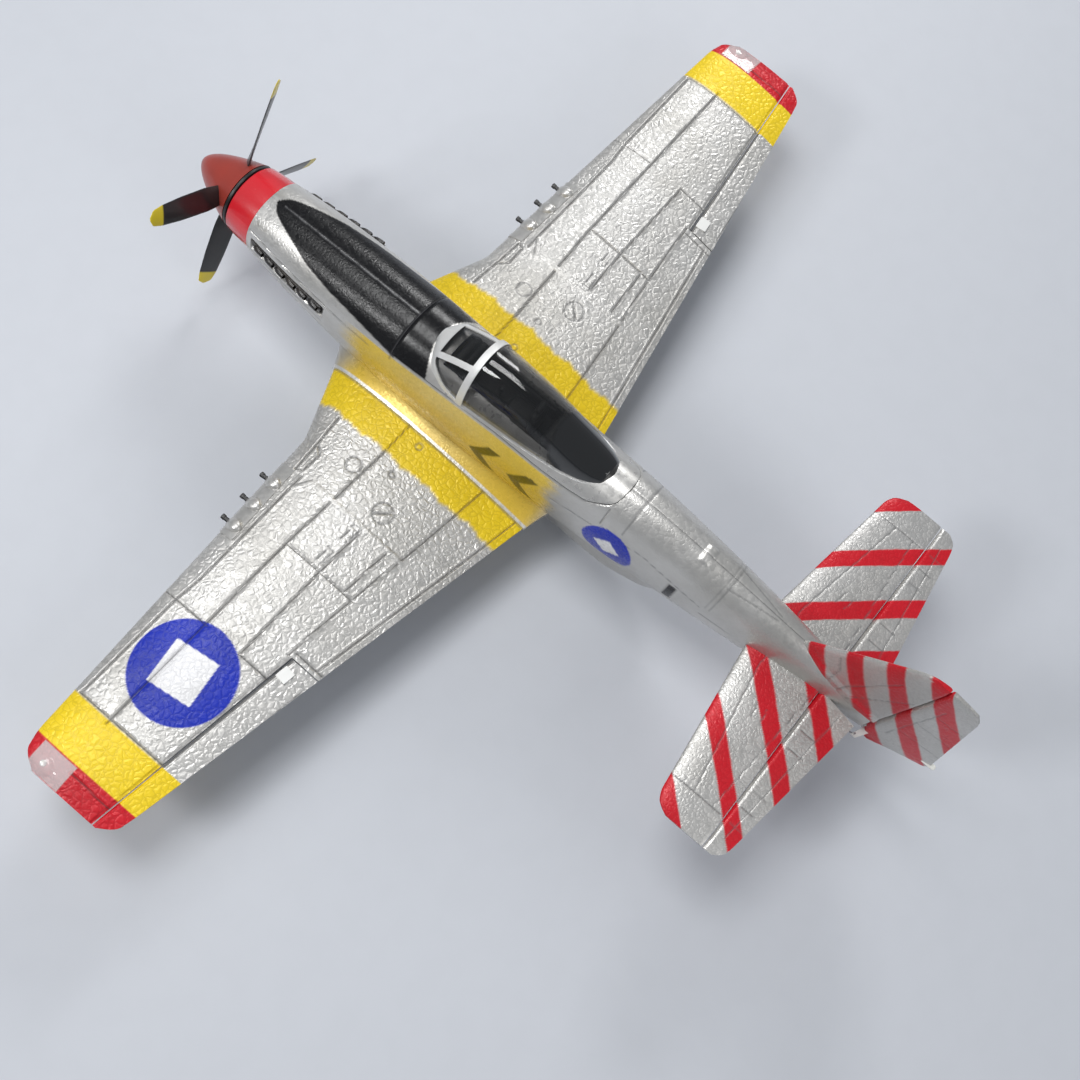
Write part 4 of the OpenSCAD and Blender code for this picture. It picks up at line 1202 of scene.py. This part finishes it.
piece("spinner_shell", [spinner()], SPINNER_RED, "propeller", ["spinner"])
BACKPLATE = ((31.1, 1.5), (31.1, 18.3), (31.5, 18.9), (32.7, 18.9), (33.1, 18.4), (33.1, 1.5))
HUB = ((19.7, 2.5), (19.7, 6.2), (20.2, 6.5), (29, 6.5), (29.5, 6.2), (29.5, 2.5))
NOSE_RING = ((34, 18.2), (34, 19.2), (34.4, 19.6), (40, 20.3), (45, 20.7), (49.9, 20.9),
             (49.9, 19.2), (40, 18.4))
piece("spinner_back", [turned(BACKPLATE, NOSE, 96)], GAP_BLACK, "propeller",
      ["spinner_backplate"])
blades = [blade(PROP_CLOCK + a) for a in (0, 90, 180, 270)]
piece("propeller_blades", blades + [turned(HUB, NOSE)], BLADE, "propeller", ["propeller"],
      blade_paint)
piece("nose_band", [turned(NOSE_RING, NOSE, 128)], RING_RED, "airframe", ["nose_ring"])
piece("scoop_skin", [belly_scoop()], BODY_FOAM, "airframe", ["belly_scoop"],
      plain_paint(SILVER))

CAD_FINISH = {
    MOUNT: ("motor_mount",),
    DARK_METAL: ("motor_screws", "motor_bell", "fuselage_magnets", "hatch_magnets"),
    COPPER: ("motor_stator",),
    METAL_GREY: ("prop_adapter", "prop_nut", "elevator_joiner", "aileron_rod_left",
                 "aileron_rod_right", "elevator_rod", "rudder_rod"),
    CARBON: ("wing_spars",),
    WHITE_PLASTIC: ("aileron_horn_left", "aileron_horn_right", "elevator_horn", "rudder_horn",
                    "aileron_servo_arm_left", "aileron_servo_arm_right", "elevator_servo_arm",
                    "rudder_servo_arm"),
    SERVO: ("aileron_servo_left", "aileron_servo_right", "elevator_servo", "rudder_servo"),
    LAMP: ("tail_led",),
    BATTERY: ("battery",),
    STRAP: ("battery_strap",),
    BOARD: ("receiver_board",),
    WIRE: ("motor_wires",),
}
for material, names in CAD_FINISH.items():
    for name in names:
        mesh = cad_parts[name].data
        mesh.materials.clear()
        mesh.materials.append(material)

# ---- Stage, light and camera ----
floor_mesh = bpy.data.meshes.new("floor")
floor_mesh.from_pydata([(-30, -30, 0), (30, -30, 0), (30, 30, 0), (-30, 30, 0)], [], [(0, 1, 2, 3)])
floor = bpy.data.objects.new("floor", floor_mesh)
floor.location.z = -0.012
bpy.context.scene.collection.objects.link(floor)
floor_mesh.materials.append(plastic("pale_floor", (0.53, 0.55, 0.59), 0.7, 0.0, spread=0.05))

world = bpy.data.worlds.new("soft_sky")
bpy.context.scene.world = world
world.use_nodes = True
world.node_tree.nodes["Background"].inputs[0].default_value = (0.80, 0.84, 0.9, 1)
world.node_tree.nodes["Background"].inputs[1].default_value = 0.36


def lamp(name, place, aim, power, size):
    data = bpy.data.lights.new(name, "AREA")
    data.energy, data.size = power, size
    o = bpy.data.objects.new(name, data)
    o.location = place
    o.rotation_mode = "QUATERNION"
    o.rotation_quaternion = (Vector(aim) - Vector(place)).to_track_quat("-Z", "Y")
    bpy.context.scene.collection.objects.link(o)


lamp("overhead", (0.02, -0.38, 1.25), (0, 0, 0.04), 7.5, 0.5)
lamp("port_front", (0.8, -0.55, 0.95), (0, -0.05, 0.05), 5.5, 0.3)
lamp("starboard_front", (-1.0, -0.4, 0.75), (0, -0.05, 0.05), 5.5, 0.35)
lamp("rear_fill", (0.3, 1.25, 0.9), (0, 0, 0.05), 4.0, 0.8)

bpy.context.scene.view_settings.view_transform = "Standard"

camera_data = bpy.data.cameras.new("camera")
camera_data.lens, camera_data.sensor_width = 40.04, 36.0
camera_data.clip_start, camera_data.clip_end = 0.01, 50
camera = bpy.data.objects.new("camera", camera_data)
camera.location = (0.2167, 0.0686, 0.6318)
camera.rotation_mode = "QUATERNION"
camera.rotation_quaternion = (0.4112, 0.1189, 0.0948, 0.8988)
bpy.context.scene.collection.objects.link(camera)
bpy.context.scene.camera = camera
